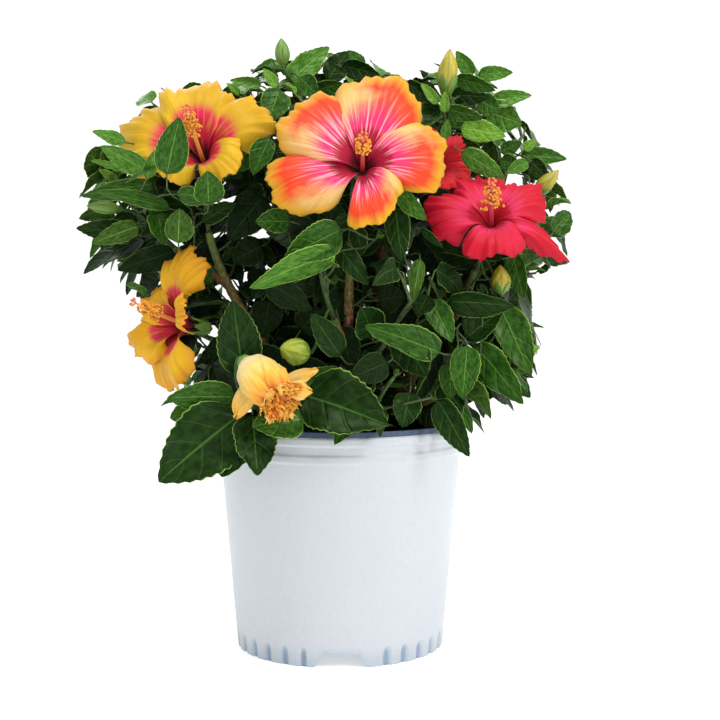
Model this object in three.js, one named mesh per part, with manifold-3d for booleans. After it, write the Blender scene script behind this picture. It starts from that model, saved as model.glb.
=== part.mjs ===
// A tropical hibiscus shrub in flower, in its white plastic nursery pot.
// Millimetres, +Z up. The origin is the middle of the pot's flat underside, and the side with the three
// large open blooms faces -Y. Stems rise from the potting soil, boughs leave the stems, and each bough
// carries one mass of foliage that keeps to its own space.
import * as THREE from 'three';
import { mergeVertices } from 'three/addons/utils/BufferGeometryUtils.js';
import Module from 'manifold-3d';

const wasm = await Module();
wasm.setup();

// The pot: a trade container of two gallons.
const POT_HEIGHT = 215;
const FOOT_RADIUS = 100.4;
const WALL_TOP_RADIUS = 117.0;
const WALL_TOP_HEIGHT = 190;
const LIP_RADIUS = 118.2;
const BAND_RADIUS = 116.6;
const WALL = 1.8;
const RIDGE_RADIUS = 118.0;
const RIDGE_BOTTOM = 192;
const RIDGE_TOP = 197.5;
const BAND_BOTTOM = 199.5;
const BAND_TOP = 206.5;
const LIP_BOTTOM = 208;
const LIP_SHOULDER = 212.5;
const FLOOR_HEIGHT = 13;
const FLOOR_THICKNESS = 2;
const FOOT_RING = 3.4;
const PAD_RADIUS = 22;
const PAD_SLOPE = 2;
const POT_SEGMENTS = 64;
const FLUTE_HEIGHT = 19;
const FLUTE_DEPTH = 1.3;
const FLUTE_ROW = 5;
const NOTCH_COUNT = 3;
const NOTCH_WIDTH = 52;
const NOTCH_TOP_WIDTH = 31;
const NOTCH_TOP = 12.5;

// The soil that fills the pot, and the clearance that every neighbouring piece keeps.
const SOIL_LEVEL = 190;
const SOIL_EDGE = 184;
const SOIL_FLAT_RADIUS = 84;
const SOIL_SEGMENTS = 24;
const GAP = 0.3;

// Limbs: sides and rings of the tapered tubes, and their radii.
const STEM_SIDES = 6;
const STEM_RINGS = 6;
const BOUGH_SIDES = 4;
const BOUGH_RINGS = 3;
const BOUGH_FOOT_RADIUS = 4.0;
const BOUGH_TIP_RADIUS = 2.6;
const BOUGH_REACH = 0.56;
const BOUGH_FOLLOWS_STEM = 0.6;
const BOUGH_RISE = 0.3;
const FLARE = 0.55;
const FLARE_HEIGHT = 14;

// Twigs, leaves and the rule that spreads them.
const SEED = 20611;
const GOLDEN_TURN = 2.39996;
const TWIG_SIDES = 4;
const TWIG_RADIUS = 2.6;
const TWIG_TIP_RADIUS = 1.9;
const FIRST_TWIG = { beyond: 0.36, rise: 0.22, lift: 0.8 };
const SIDE_TWIG_RADIUS = 1.35;
const SIDE_TWIGS = 3;
const SIDE_TWIG = {
  lowest: 0.16, highest: 0.86, longest: 1.15, shortest: 0.5,
  along: 0.35, outwards: 0.35, up: 0.25, rise: 0.16,
};
const LEAF_STEP = 14;
const SLIVER = 0.02;
const LOW_LEAF = 110;
const HIGH_LEAF = 70;
const LOW_LEVEL = 200;
const HIGH_LEVEL = 540;
const LEAF_WIDTH = 0.62;
const LEAF_THICKNESS = 0.016;
const LEAF_SAG = 0.16;
const LEAF_ROOT_RADIUS = 0.5;
const LEAF_LEAST_THICKNESS = 0.9;
const STALK_SHARE = 0.24;
const STALK_LEAN = { along: 0.5, outwards: 0.4 };
const BLADE_LEAN = { around: 0.7, outwards: 0.75, along: 0.3, highest: 0.15, lowest: -0.55 };
const FACE_LEAN = { outwards: 0.75, wobble: 0.7 };
const LEAF_SPACING = 6;
const LEAF_TRIES = 28;
const TWIG_TRIES = 12;
const LIMB_CLEARANCE = 4.5;
const TWIG_CLEARANCE = 3;
const TWIG_LIMB_CLEARANCE = 3.5;
const TWIG_STRETCH = 0.96;
const SPACE_MARGIN = 0.4;

// The crown's outline: a rounded box that narrows towards the pot, and how far a mass's leaves may spread
// past its half sizes inside that outline.
const CROWN_MIDDLE = new THREE.Vector3(-13, 15, 395);
const CROWN_HALF = { across: 238, deep: 205, above: 190, below: 225 };
const CROWN_ROUNDNESS = 2.6;
const SPREAD = 1.3;

// The stems: the foot on the soil, the top, the radius above the flare and at the top.
const STEMS = {
  left: { foot: [-38, -14], top: [-124, -36, 402], radius: 7.4, tip: 3.4 },
  centre: { foot: [4, -34], top: [10, -66, 404], radius: 7.0, tip: 3.2 },
  right: { foot: [42, -10], top: [128, -36, 366], radius: 7.4, tip: 3.4 },
  back_left: { foot: [-28, 34], top: [-54, 26, 470], radius: 8.0, tip: 3.2 },
  back_right: { foot: [30, 36], top: [46, 46, 462], radius: 8.0, tip: 3.2 },
};

// The masses: the middle and half sizes of the space, the stem, and how far up that stem the bough
// leaves it (1 is the stem's own tip, which the mass then meets without a bough).
const MASSES = [
  { name: 'skirt_left', at: [-100, -110, 255], half: [56, 56, 72], stem: 'left', from: 0.16 },
  { name: 'skirt_front', at: [42, -112, 250], half: [76, 62, 62], stem: 'centre', from: 0.14 },
  { name: 'low_right', at: [135, -70, 275], half: [66, 66, 92], stem: 'right', from: 0.24 },
  { name: 'front_right', at: [60, -100, 318], half: [60, 60, 76], stem: 'centre', from: 0.4 },
  { name: 'front', at: [-15, -105, 345], half: [76, 62, 72], stem: 'centre', from: 0.55 },
  { name: 'front_upper', at: [15, -102, 458], half: [84, 74, 82], stem: 'centre', from: 1 },
  { name: 'right', at: [158, -62, 408], half: [66, 64, 66], stem: 'right', from: 1 },
  { name: 'right_upper', at: [175, 5, 470], half: [56, 64, 70], stem: 'right', from: 0.8 },
  { name: 'top_right', at: [108, -12, 512], half: [70, 66, 72], stem: 'back_right', from: 0.78 },
  { name: 'top', at: [45, 45, 535], half: [66, 66, 54], stem: 'back_right', from: 1 },
  { name: 'top_left', at: [-42, 12, 540], half: [66, 64, 54], stem: 'back_left', from: 1 },
  { name: 'left_upper', at: [-135, -52, 485], half: [80, 70, 72], stem: 'left', from: 1 },
  { name: 'left', at: [-200, -8, 415], half: [58, 66, 84], stem: 'left', from: 0.8 },
  { name: 'left_low', at: [-168, -48, 318], half: [36, 50, 58], stem: 'left', from: 0.5 },
  { name: 'side_left', at: [-112, 25, 288], half: [58, 66, 62], stem: 'left', from: 0.32 },
  { name: 'side_right', at: [120, 30, 290], half: [66, 66, 70], stem: 'right', from: 0.4 },
  { name: 'back_top_left', at: [-85, 88, 490], half: [80, 76, 74], stem: 'back_left', from: 0.84 },
  { name: 'back_top_right', at: [98, 98, 480], half: [80, 76, 74], stem: 'back_right', from: 0.66 },
  { name: 'back_left', at: [-165, 92, 385], half: [72, 76, 84], stem: 'back_left', from: 0.46 },
  { name: 'back_right', at: [168, 88, 375], half: [70, 76, 84], stem: 'back_right', from: 0.5 },
  { name: 'back', at: [0, 155, 400], half: [82, 66, 90], stem: 'back_right', from: 0.36 },
  { name: 'back_low_left', at: [-90, 125, 275], half: [82, 72, 80], stem: 'back_left', from: 0.2 },
  { name: 'back_low_right', at: [90, 130, 272], half: [82, 72, 80], stem: 'back_right', from: 0.18 },
];

// The blooms: the mass they belong to, the eye, the way they face, and for each petal its turn in degrees,
// its length and how far in degrees it rises out of the bloom's plane.
const BLOOMS = [
  {
    mass: 'front_upper', eye: [18, -122, 455], facing: [0, -0.93, 0.36], column: 46,
    petals: [[12, 76, 4], [78, 82, 6], [142, 84, 8], [199, 84, 6], [275, 62, 24]],
  },
  {
    mass: 'left_upper', eye: [-127, -72, 470], facing: [-0.2, -0.8, 0.58], column: 52,
    petals: [[158, 80, 4], [102, 74, 0], [52, 72, 0], [-8, 62, 10], [262, 56, 42]],
  },
  {
    mass: 'left_low', eye: [-146, -66, 316], facing: [-0.8, -0.56, 0.16], column: 50,
    petals: [[84, 74, 12], [20, 54, 30], [150, 56, 32], [214, 56, 40], [272, 60, 12]],
  },
  {
    mass: 'right', eye: [142, -80, 410], facing: [-0.06, -0.74, 0.67], column: 50,
    petals: [[150, 52, 10], [96, 62, 0], [38, 62, 4], [-14, 70, 0], [262, 44, 26]],
  },
  {
    mass: 'top_right', eye: [84, -26, 482], facing: [0.16, -0.86, 0.42], column: 30,
    petals: [[-18, 38, 16], [52, 44, 10], [112, 46, 10], [180, 34, 24], [262, 32, 30]],
  },
];

// The faded bloom that has closed and nods: its mass, its foot, and its radius at steps towards its mouth.
const FADED_BLOOM = {
  mass: 'skirt_left', foot: [-79, -115, 286], tip: [-46, -148, 240], radii: [5, 17, 27, 17],
};

// Flower buds on their stalks: the mass, the foot and the tip of the bud, and its radius.
const BUDS = [
  { mass: 'top_left', foot: [-54, -10, 561], tip: [-56, -10, 587], radius: 6.5 },
  { mass: 'top_right', foot: [100, -30, 534], tip: [101, -30, 572], radius: 8 },
  { mass: 'right_upper', foot: [187, -22, 438], tip: [208, -28, 461], radius: 7.5 },
  { mass: 'right', foot: [151, -60, 344], tip: [149, -64, 371], radius: 9 },
  { mass: 'front', foot: [-21, -98, 293], tip: [-41, -112, 300], radius: 9.5 },
  { mass: 'left', foot: [-209, -25, 424], tip: [-240, -30, 427], radius: 5.5 },
];

// The large leaves that shape the side with the blooms: mass, foot and tip of the blade, width, and the
// way its upper face looks.
const KEY_LEAVES = [
  { mass: 'skirt_left', foot: [-96, -122, 246], tip: [-160, -146, 181], width: 70, face: [-0.3, -0.8, 0.5] },
  { mass: 'skirt_left', foot: [-84, -118, 240], tip: [-106, -138, 185], width: 52, face: [0.1, -0.9, 0.4] },
  { mass: 'skirt_left', foot: [-70, -128, 238], tip: [-74, -144, 186], width: 44, face: [0.5, -0.8, 0.3] },
  { mass: 'skirt_left', foot: [-36, -132, 246], tip: [-80, -152, 230], width: 34, face: [0, -0.7, 0.7] },
  { mass: 'skirt_left', foot: [-96, -112, 252], tip: [-154, -130, 253], width: 34, face: [0, -0.8, 0.6] },
  { mass: 'skirt_left', foot: [-96, -102, 272], tip: [-101, -112, 331], width: 40, face: [0.2, -0.96, 0.1] },
  { mass: 'skirt_front', foot: [-20, -114, 262], tip: [48, -148, 231], width: 58, face: [0.1, -0.75, 0.65] },
  { mass: 'front', foot: [-4, -126, 384], tip: [-76, -148, 352], width: 40, face: [-0.1, -0.7, 0.7] },
  { mass: 'front', foot: [2, -124, 399], tip: [-50, -140, 377], width: 34, face: [-0.2, -0.9, 0.4] },
  { mass: 'front_right', foot: [84, -94, 292], tip: [26, -118, 316], width: 34, face: [0, -0.8, 0.6] },
  { mass: 'low_right', foot: [132, -64, 300], tip: [170, -78, 243], width: 38, face: [0.5, -0.8, 0.2] },
  { mass: 'low_right', foot: [151, -48, 318], tip: [182, -54, 269], width: 36, face: [0.4, -0.8, 0.4] },
  { mass: 'low_right', foot: [104, -98, 256], tip: [118, -124, 201], width: 34, face: [0.1, -0.9, 0.3] },
  { mass: 'left_upper', foot: [-154, -112, 448], tip: [-140, -122, 499], width: 32, face: [-0.3, -0.95, 0] },
  { mass: 'top_left', foot: [-52, 2, 538], tip: [-4, 10, 581], width: 40, face: [0.2, -0.9, 0.3] },
];

const UP = new THREE.Vector3(0, 0, 1);
const RIGHT = new THREE.Vector3(1, 0, 0);
const BACK = new THREE.Vector3(0, 1, 0);
const vector = (numbers) => new THREE.Vector3(...numbers);
for (const mass of MASSES) {
  mass.middle = vector(mass.at);
}
const along = (start, direction, distance) => start.clone().addScaledVector(direction, distance);
const mix = (a, b, share) => a + (b - a) * share;

// A repeatable number from 0 to 1 for a list of whole numbers.
function chance(...keys) {
  let value = SEED;
  for (const key of keys) {
    value = Math.imul(value ^ (key + 1013), 0x9e3779b1) >>> 0;
    value = (value ^ (value >>> 15)) >>> 0;
  }
  return value / 4294967296;
}

// Closed solids, joined and cut.

function closedGeometry(geometry) {
  geometry.deleteAttribute('normal');
  geometry.deleteAttribute('uv');
  return mergeVertices(geometry, 1e-4);
}

function toSolid(geometry) {
  const merged = closedGeometry(geometry);
  return new wasm.Manifold(new wasm.Mesh({
    numProp: 3,
    vertProperties: new Float32Array(merged.attributes.position.array),
    triVerts: new Uint32Array(merged.index.array),
  }));
}

function toGeometry(solid) {
  const mesh = solid.getMesh();
  const geometry = new THREE.BufferGeometry();
  geometry.setAttribute('position', new THREE.BufferAttribute(mesh.vertProperties, 3));
  geometry.setIndex(new THREE.BufferAttribute(mesh.triVerts, 1));
  return geometry;
}

// Joins solids into one body. A scrap that touches nothing is dropped, and a hollow that joining seals is
// filled, because only the largest outer skin is kept. Slivers along the joins are taken out.
function fuse(solids) {
  const joined = solids.reduce((whole, solid) => whole.add(solid));
  const bodies = joined.decompose().sort((a, b) => b.volume() - a.volume());
  return bodies[0].simplify(SLIVER);
}

// A cylinder, or a cone when it ends in a point, whose rings are carried to section(ring). That gives the
// ring's middle and its two half axes, with across x direction = deep.
function loft(sides, rings, section, pointed = false) {
  const geometry = new THREE.CylinderGeometry(pointed ? 0 : 1, 1, 1, sides, rings);
  const position = geometry.attributes.position;
  const vertex = new THREE.Vector3();
  for (let i = 0; i < position.count; i += 1) {
    vertex.fromBufferAttribute(position, i);
    const { middle, across, deep } = section(Math.round((vertex.y + 0.5) * rings));
    const spread = Math.hypot(vertex.x, vertex.z);
    const reach = spread > 1e-6 ? 1 / spread : 0;
    const place = along(along(middle, across, vertex.x * reach), deep, vertex.z * reach);
    position.setXYZ(i, place.x, place.y, place.z);
  }
  return geometry;
}

// A tube through a list of points. Its first ring is square to firstDirection, when that is given.
function tube(points, radii, sides, firstDirection = null) {
  const last = points.length - 1;
  const whole = points[last].clone().sub(points[0]);
  const side = Math.abs(whole.x) < Math.abs(whole.y) ? RIGHT : BACK;
  return loft(sides, last, (ring) => {
    const from = points[Math.max(ring - 1, 0)];
    const to = points[Math.min(ring + 1, last)];
    const direction = ring === 0 && firstDirection ? firstDirection : to.clone().sub(from).normalize();
    const across = side.clone().addScaledVector(direction, -side.dot(direction)).normalize();
    const deep = across.clone().cross(direction);
    return {
      middle: points[ring],
      across: across.multiplyScalar(radii[ring]),
      deep: deep.multiplyScalar(radii[ring]),
    };
  });
}

// Points at even steps of a cubic curve that leaves the start and reaches the end in given directions.
function curvePoints(start, startDirection, end, endDirection, count) {
  const pull = start.distanceTo(end) / 3;
  const curve = new THREE.CubicBezierCurve3(
    start,
    along(start, startDirection, pull),
    along(end, endDirection, -pull),
    end,
  );
  return curve.getPoints(count);
}

const tapered = (count, foot, tip) => Array.from({ length: count + 1 }, (_, i) => mix(foot, tip, i / count));

// A place on a line of points, by its share of the steps, with the direction there.
function placeOn(points, share) {
  const step = Math.min(Math.floor(share * (points.length - 1)), points.length - 2);
  const rest = share * (points.length - 1) - step;
  const direction = points[step + 1].clone().sub(points[step]).normalize();
  return { point: points[step].clone().lerp(points[step + 1], rest), direction };
}

// The pot: rolled lip, recessed band, ridge, drafted wall, fluted foot with drain notches, raised floor.

const wallRadius = (height) => mix(FOOT_RADIUS, WALL_TOP_RADIUS, height / WALL_TOP_HEIGHT);

function potSolid() {
  const inside = WALL_TOP_RADIUS - WALL;
  const floorTop = FLOOR_HEIGHT + FLOOR_THICKNESS;
  const footInside = FOOT_RADIUS - FOOT_RING;
  const profile = [
    [0, 0], [PAD_RADIUS, 0], [PAD_RADIUS + PAD_SLOPE, FLOOR_HEIGHT],
    [footInside, FLOOR_HEIGHT], [footInside, 0], [FOOT_RADIUS, 0],
    [wallRadius(FLUTE_HEIGHT), FLUTE_HEIGHT], [WALL_TOP_RADIUS, WALL_TOP_HEIGHT],
    [RIDGE_RADIUS, RIDGE_BOTTOM], [RIDGE_RADIUS, RIDGE_TOP],
    [BAND_RADIUS, BAND_BOTTOM], [BAND_RADIUS, BAND_TOP],
    [LIP_RADIUS, LIP_BOTTOM], [LIP_RADIUS, LIP_SHOULDER], [inside + 1, POT_HEIGHT],
    [inside, POT_HEIGHT - 1.5], [inside, WALL_TOP_HEIGHT], [wallRadius(floorTop) - WALL, floorTop],
    [PAD_RADIUS + 1, floorTop], [PAD_RADIUS - 1, FLOOR_THICKNESS], [0, FLOOR_THICKNESS],
  ];
  const points = profile.map(([radius, height]) => new THREE.Vector2(radius, height));
  const geometry = new THREE.LatheGeometry(points, POT_SEGMENTS);
  const position = geometry.attributes.position;
  for (let i = 0; i < position.count; i += 1) {
    const segment = Math.floor(i / points.length) % POT_SEGMENTS;
    const row = i % points.length;
    const fluted = segment % 2 === 1 && row === FLUTE_ROW;
    const shrink = fluted ? 1 - FLUTE_DEPTH / FOOT_RADIUS : 1;
    position.setXYZ(i, position.getX(i) * shrink, position.getY(i), position.getZ(i) * shrink);
  }
  geometry.rotateX(Math.PI / 2);
  let pot = toSolid(geometry);
  const notch = new THREE.Shape([
    new THREE.Vector2(-NOTCH_WIDTH / 2, -1), new THREE.Vector2(NOTCH_WIDTH / 2, -1),
    new THREE.Vector2(NOTCH_TOP_WIDTH / 2, NOTCH_TOP), new THREE.Vector2(-NOTCH_TOP_WIDTH / 2, NOTCH_TOP),
  ]);
  for (let i = 0; i < NOTCH_COUNT; i += 1) {
    const cutter = new THREE.ExtrudeGeometry(notch, { depth: 3 * FOOT_RING, bevelEnabled: false });
    cutter.rotateX(Math.PI / 2);
    cutter.translate(0, -FOOT_RADIUS + 2 * FOOT_RING, 0);
    cutter.rotateZ((i * 2 * Math.PI) / NOTCH_COUNT);
    pot = pot.subtract(toSolid(cutter));
  }
  return pot;
}

// The soil fills the pot up to a ring where it slopes from its flat top down to the wall.
function soilGeometry() {
  const padTop = FLOOR_THICKNESS + GAP;
  const floorTop = FLOOR_HEIGHT + padTop;
  const soilRadius = (height) => (wallRadius(height) - WALL) * Math.cos(Math.PI / POT_SEGMENTS) - 2 * GAP;
  const profile = [
    [0, padTop], [PAD_RADIUS - 1.5, padTop], [PAD_RADIUS + 0.5, floorTop],
    [soilRadius(floorTop), floorTop], [soilRadius(SOIL_EDGE), SOIL_EDGE],
    [SOIL_FLAT_RADIUS, SOIL_LEVEL], [0, SOIL_LEVEL],
  ];
  const geometry = new THREE.LatheGeometry(profile.map(([r, z]) => new THREE.Vector2(r, z)), SOIL_SEGMENTS);
  geometry.rotateX(Math.PI / 2);
  return geometry;
}

// Stems and boughs.

function stemLimb(name) {
  const { foot, top, radius, tip } = STEMS[name];
  const start = vector([...foot, SOIL_LEVEL + GAP]);
  const end = vector(top);
  const lean = end.clone().sub(start).normalize().add(UP).normalize();
  const points = curvePoints(start, UP, end, lean, STEM_RINGS);
  points.splice(1, 0, along(start, UP, FLARE_HEIGHT));
  const radii = points.map((point, i) => mix(radius, tip, i / (points.length - 1)));
  radii[0] *= 1 + FLARE;
  return { name: `stem_${name}`, points, radii, firstDirection: UP };
}

function boughLimb(mass, stem) {
  const middle = vector(mass.at);
  const { point: start, direction } = placeOn(stem.points, mass.from);
  const towards = middle.clone().sub(start).normalize();
  const startDirection = towards.clone().addScaledVector(direction, BOUGH_FOLLOWS_STEM).normalize();
  const end = start.clone().lerp(middle, BOUGH_REACH);
  const endDirection = towards.clone().addScaledVector(UP, BOUGH_RISE).normalize();
  const points = curvePoints(start, startDirection, end, endDirection, BOUGH_RINGS);
  const radii = tapered(BOUGH_RINGS, BOUGH_FOOT_RADIUS, BOUGH_TIP_RADIUS);
  return { name: `bough_${mass.name}`, points, radii, firstDirection: startDirection };
}

const limbSolid = (limb, sides, extra = 0) =>
  toSolid(tube(limb.points, limb.radii.map((radius) => radius + extra), sides, limb.firstDirection));

// Leaves and twigs. A leaf is known by its foot on the twig, the foot of its blade, its direction, the way
// its upper face looks, and its length and width.

// The middle of a blade at a share of its length: it sags towards the tip.
const bladePoint = (leaf, share) =>
  along(along(leaf.foot, leaf.direction, leaf.length * share), UP, -leaf.sag * leaf.length * share * share);

const bladeSide = (leaf) => leaf.face.clone().cross(leaf.direction).normalize();

// How wide a blade is at the sections of its solid, as a share of its greatest width: a large leaf has two
// sections between its root and its tip, and any other leaf has one.
const LARGE_LEAF_SECTIONS = [[0, 0.06], [0.24, 0.96], [0.62, 0.78]];
const LEAF_SECTIONS = [[0, 0.05], [0.36, 1.02]];

function leafSolid(leaf, rootRadius) {
  const sections = leaf.large ? LARGE_LEAF_SECTIONS : LEAF_SECTIONS;
  const side = bladeSide(leaf);
  const down = leaf.face.clone().negate();
  const thick = Math.max(leaf.length * LEAF_THICKNESS, LEAF_LEAST_THICKNESS) / 1.5;
  return toSolid(loft(3, sections.length + 1, (ring) => {
    if (ring === 0) {
      return {
        middle: leaf.root,
        across: side.clone().multiplyScalar(rootRadius),
        deep: down.clone().multiplyScalar(rootRadius),
      };
    }
    const [share, width] = sections[ring - 1] || [1, 0];
    return {
      middle: bladePoint(leaf, share),
      across: side.clone().multiplyScalar((leaf.width * width) / Math.sqrt(3)),
      deep: down.clone().multiplyScalar(thick),
    };
  }, true));
}

// Points over a blade for the tests of space, from foot to tip and from edge to edge.
function bladeSamples(leaf) {
  const side = bladeSide(leaf);
  const samples = [leaf.foot, bladePoint(leaf, 1)];
  for (const share of [0.2, 0.4, 0.6, 0.8]) {
    const half = (leaf.width / 2) * (share < 0.3 ? 1 : 1.2 - share);
    for (const offset of [-1, -0.5, 0, 0.5, 1]) {
      samples.push(along(bladePoint(leaf, share), side, half * offset));
    }
  }
  return samples;
}

// Below 1 inside the outline of the whole crown, which is a rounded box that narrows towards the pot.
function crownShare(point) {
  const offset = point.clone().sub(CROWN_MIDDLE);
  const halfHeight = offset.z > 0 ? CROWN_HALF.above : CROWN_HALF.below;
  const shares = [offset.x / CROWN_HALF.across, offset.y / CROWN_HALF.deep, offset.z / halfHeight];
  return shares.reduce((sum, share) => sum + Math.abs(share) ** CROWN_ROUNDNESS, 0);
}

// True where a point lies nearer to its own mass than to any other, within reach of that mass's middle and
// inside the crown.
function inSpace(mass, point, stretch = 1) {
  for (const other of MASSES) {
    if (other !== mass) {
      const apart = other.middle.clone().sub(mass.middle);
      const halfway = mass.middle.clone().add(other.middle).multiplyScalar(0.5);
      if (point.clone().sub(halfway).dot(apart) > -SPACE_MARGIN * apart.length()) {
        return false;
      }
    }
  }
  const reach = point.clone().sub(mass.middle).divide(vector(mass.half)).length();
  return reach <= stretch * SPREAD && crownShare(point) <= 1;
}

// Above the soil inside the pot, over its rim or outside its wall.
function clearOfPot(point) {
  const radius = Math.hypot(point.x, point.y);
  const inside = radius < WALL_TOP_RADIUS - 12 && point.z > SOIL_LEVEL + 6;
  return point.z > POT_HEIGHT + 4 || radius > LIP_RADIUS + 4 || inside;
}

const segmentLine = new THREE.Line3();
const nearest = new THREE.Vector3();

function clearOfLimb(limb, point, clearance) {
  for (let i = 0; i + 1 < limb.points.length; i += 1) {
    segmentLine.set(limb.points[i], limb.points[i + 1]);
    segmentLine.closestPointToPoint(point, true, nearest);
    if (nearest.distanceTo(point) < limb.radii[i] + clearance) {
      return false;
    }
  }
  return true;
}

// No leaf hangs in front of an open bloom or over a bud.
function clearOfBlooms(point) {
  for (const bloom of BLOOMS) {
    const eye = vector(bloom.eye);
    const facing = vector(bloom.facing).normalize().add(new THREE.Vector3(0, -1, 0)).normalize();
    const offset = point.clone().sub(eye);
    const ahead = offset.dot(facing);
    const radius = Math.max(...bloom.petals.map(([, length]) => length)) * 0.86;
    const aside = Math.sqrt(Math.max(offset.lengthSq() - ahead * ahead, 0));
    if (ahead > -6 && aside < radius && offset.length() < 130) {
      return false;
    }
  }
  return BUDS.every((bud) => {
    segmentLine.set(vector(bud.foot), vector(bud.tip));
    segmentLine.closestPointToPoint(point, true, nearest);
    const aside = Math.hypot(point.x - nearest.x, point.z - nearest.z);
    const ahead = aside < bud.radius + 2 && point.y < nearest.y;
    return !ahead && nearest.distanceTo(point) > bud.radius + 3;
  });
}

// Two directions square to a third.
function squareTo(direction) {
  const flat = Math.abs(direction.z) > 0.9 ? RIGHT : UP;
  const first = direction.clone().cross(flat).normalize();
  return [first, direction.clone().cross(first)];
}

function turnAround(direction, turn) {
  const [first, second] = squareTo(direction);
  return first.multiplyScalar(Math.cos(turn)).addScaledVector(second, Math.sin(turn));
}

const outwards = (point) =>
  point.clone().sub(CROWN_MIDDLE).multiply(new THREE.Vector3(1, 1, 0.5)).normalize();

// Leaf number `index` of a twig, on try number `attempt`: it turns by the golden angle from the one before,
// leans outwards and hangs, and its face looks up and out.
function leafOn(massIndex, twigIndex, twig, index, count, attempt) {
  const keys = [massIndex, twigIndex, index, attempt];
  const share = (index + 0.6) / count;
  const { point: root, direction } = placeOn(twig.points, Math.min(share, 0.97));
  const turn = GOLDEN_TURN * index + attempt * 1.7 + chance(...keys, 1) * 0.8;
  const out = turnAround(direction, turn);
  const radial = outwards(root);
  const height = Math.min(Math.max((root.z - LOW_LEVEL) / (HIGH_LEVEL - LOW_LEVEL), 0), 1);
  const shrink = mix(1, 0.6, attempt / (LEAF_TRIES - 1));
  const grown = mix(0.8, 1.1, chance(...keys, 2)) * mix(1, 0.72, share) * shrink;
  const length = mix(LOW_LEAF, HIGH_LEAF, height) * grown;
  const stalk = out.clone()
    .addScaledVector(direction, STALK_LEAN.along)
    .addScaledVector(radial, STALK_LEAN.outwards)
    .normalize();
  const foot = along(root, stalk, length * STALK_SHARE);
  const blade = out.clone().multiplyScalar(BLADE_LEAN.around)
    .addScaledVector(radial, BLADE_LEAN.outwards)
    .addScaledVector(direction, BLADE_LEAN.along)
    .addScaledVector(UP, mix(BLADE_LEAN.highest, BLADE_LEAN.lowest, chance(...keys, 3)))
    .normalize();
  const wobble = vector([chance(...keys, 4), chance(...keys, 5), chance(...keys, 6)]).subScalar(0.5);
  const face = UP.clone()
    .addScaledVector(radial, FACE_LEAN.outwards)
    .addScaledVector(wobble, FACE_LEAN.wobble);
  face.addScaledVector(blade, -face.dot(blade)).normalize();
  return {
    root, foot, direction: blade, face, length, sag: LEAF_SAG,
    width: length * LEAF_WIDTH * mix(0.88, 1.08, chance(...keys, 7)),
  };
}

function keyLeaf(entry, twigs) {
  const foot = vector(entry.foot);
  const tip = vector(entry.tip);
  let root = twigs[0].points[0];
  for (const twig of twigs) {
    for (let share = 0.1; share < 0.96; share += 0.05) {
      const { point } = placeOn(twig.points, share);
      if (point.distanceTo(foot) < root.distanceTo(foot)) {
        root = point;
      }
    }
  }
  const sag = LEAF_SAG * 0.5;
  const span = tip.clone().sub(foot);
  span.z += sag * span.length();
  const length = span.length();
  const direction = span.normalize();
  const face = vector(entry.face);
  face.addScaledVector(direction, -face.dot(direction)).normalize();
  return { root, foot, direction, face, length, sag, width: entry.width, large: true };
}

// Blooms and buds.

function bloomFrame(bloom) {
  const facing = vector(bloom.facing).normalize();
  const right = UP.clone().cross(facing).normalize();
  return { facing, right, rise: facing.clone().cross(right) };
}

// How far out, how wide and how thick a petal is at the sections of its solid.
const PETAL_SECTIONS = [[0, 3, 1.4], [0.72, 0.42, 1.1], [1, 0.24, 0.7]];
const PETAL_CUP = 0.1;

function petalSolid(bloom, [turn, length, rise]) {
  const { facing, right, rise: upwards } = bloomFrame(bloom);
  const angle = THREE.MathUtils.degToRad(turn);
  const lift = THREE.MathUtils.degToRad(rise);
  const radial = right.clone().multiplyScalar(Math.cos(angle)).addScaledVector(upwards, Math.sin(angle));
  const direction = radial.clone().multiplyScalar(Math.cos(lift)).addScaledVector(facing, Math.sin(lift));
  const side = facing.clone().cross(radial);
  const start = along(vector(bloom.eye), facing, -6);
  const down = side.clone().cross(direction).normalize();
  return toSolid(loft(3, PETAL_SECTIONS.length - 1, (ring) => {
    const [share, width, thick] = PETAL_SECTIONS[ring];
    const half = ring === 0 ? width : width * length;
    return {
      middle: along(
        along(start, direction, length * share), facing, length * PETAL_CUP * Math.sin(Math.PI * share),
      ),
      across: side.clone().multiplyScalar(half / Math.sin(Math.PI / 3)),
      deep: down.clone().multiplyScalar(thick),
    };
  }));
}

function bloomSolids(bloom) {
  const { facing } = bloomFrame(bloom);
  const eye = vector(bloom.eye);
  const [calyx, throat] = [along(eye, facing, -26), along(eye, facing, 1)];
  const column = [-4, bloom.column * 0.6, bloom.column].map((distance) => along(eye, facing, distance));
  return [
    toSolid(tube([calyx, throat], [3.4, 7], 5)),
    toSolid(tube(column, [2.6, 2.2, 5.5], 4)),
    ...bloom.petals.map((petal) => petalSolid(bloom, petal)),
  ];
}

function fadedBloomSolid() {
  const [foot, tip] = [vector(FADED_BLOOM.foot), vector(FADED_BLOOM.tip)];
  const last = FADED_BLOOM.radii.length - 1;
  const points = FADED_BLOOM.radii.map((_, i) => foot.clone().lerp(tip, i / last));
  return toSolid(tube(points, FADED_BLOOM.radii, 6));
}

function budSolid(bud) {
  const [foot, tip] = [vector(bud.foot), vector(bud.tip)];
  const points = [0, 0.42, 1].map((share) => foot.clone().lerp(tip, share));
  return toSolid(tube(points, [3, bud.radius, 1.6], 5));
}

// The stalk of a flower or bud, from a place on the mass's first twig.
function stalkPoints(twig, share, end, endDirection) {
  const { point, direction } = placeOn(twig.points, share);
  return curvePoints(point, direction, end, endDirection, 3);
}

// Twigs: one from the limb through the space, then side twigs that turn by the golden angle and rise.

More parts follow.
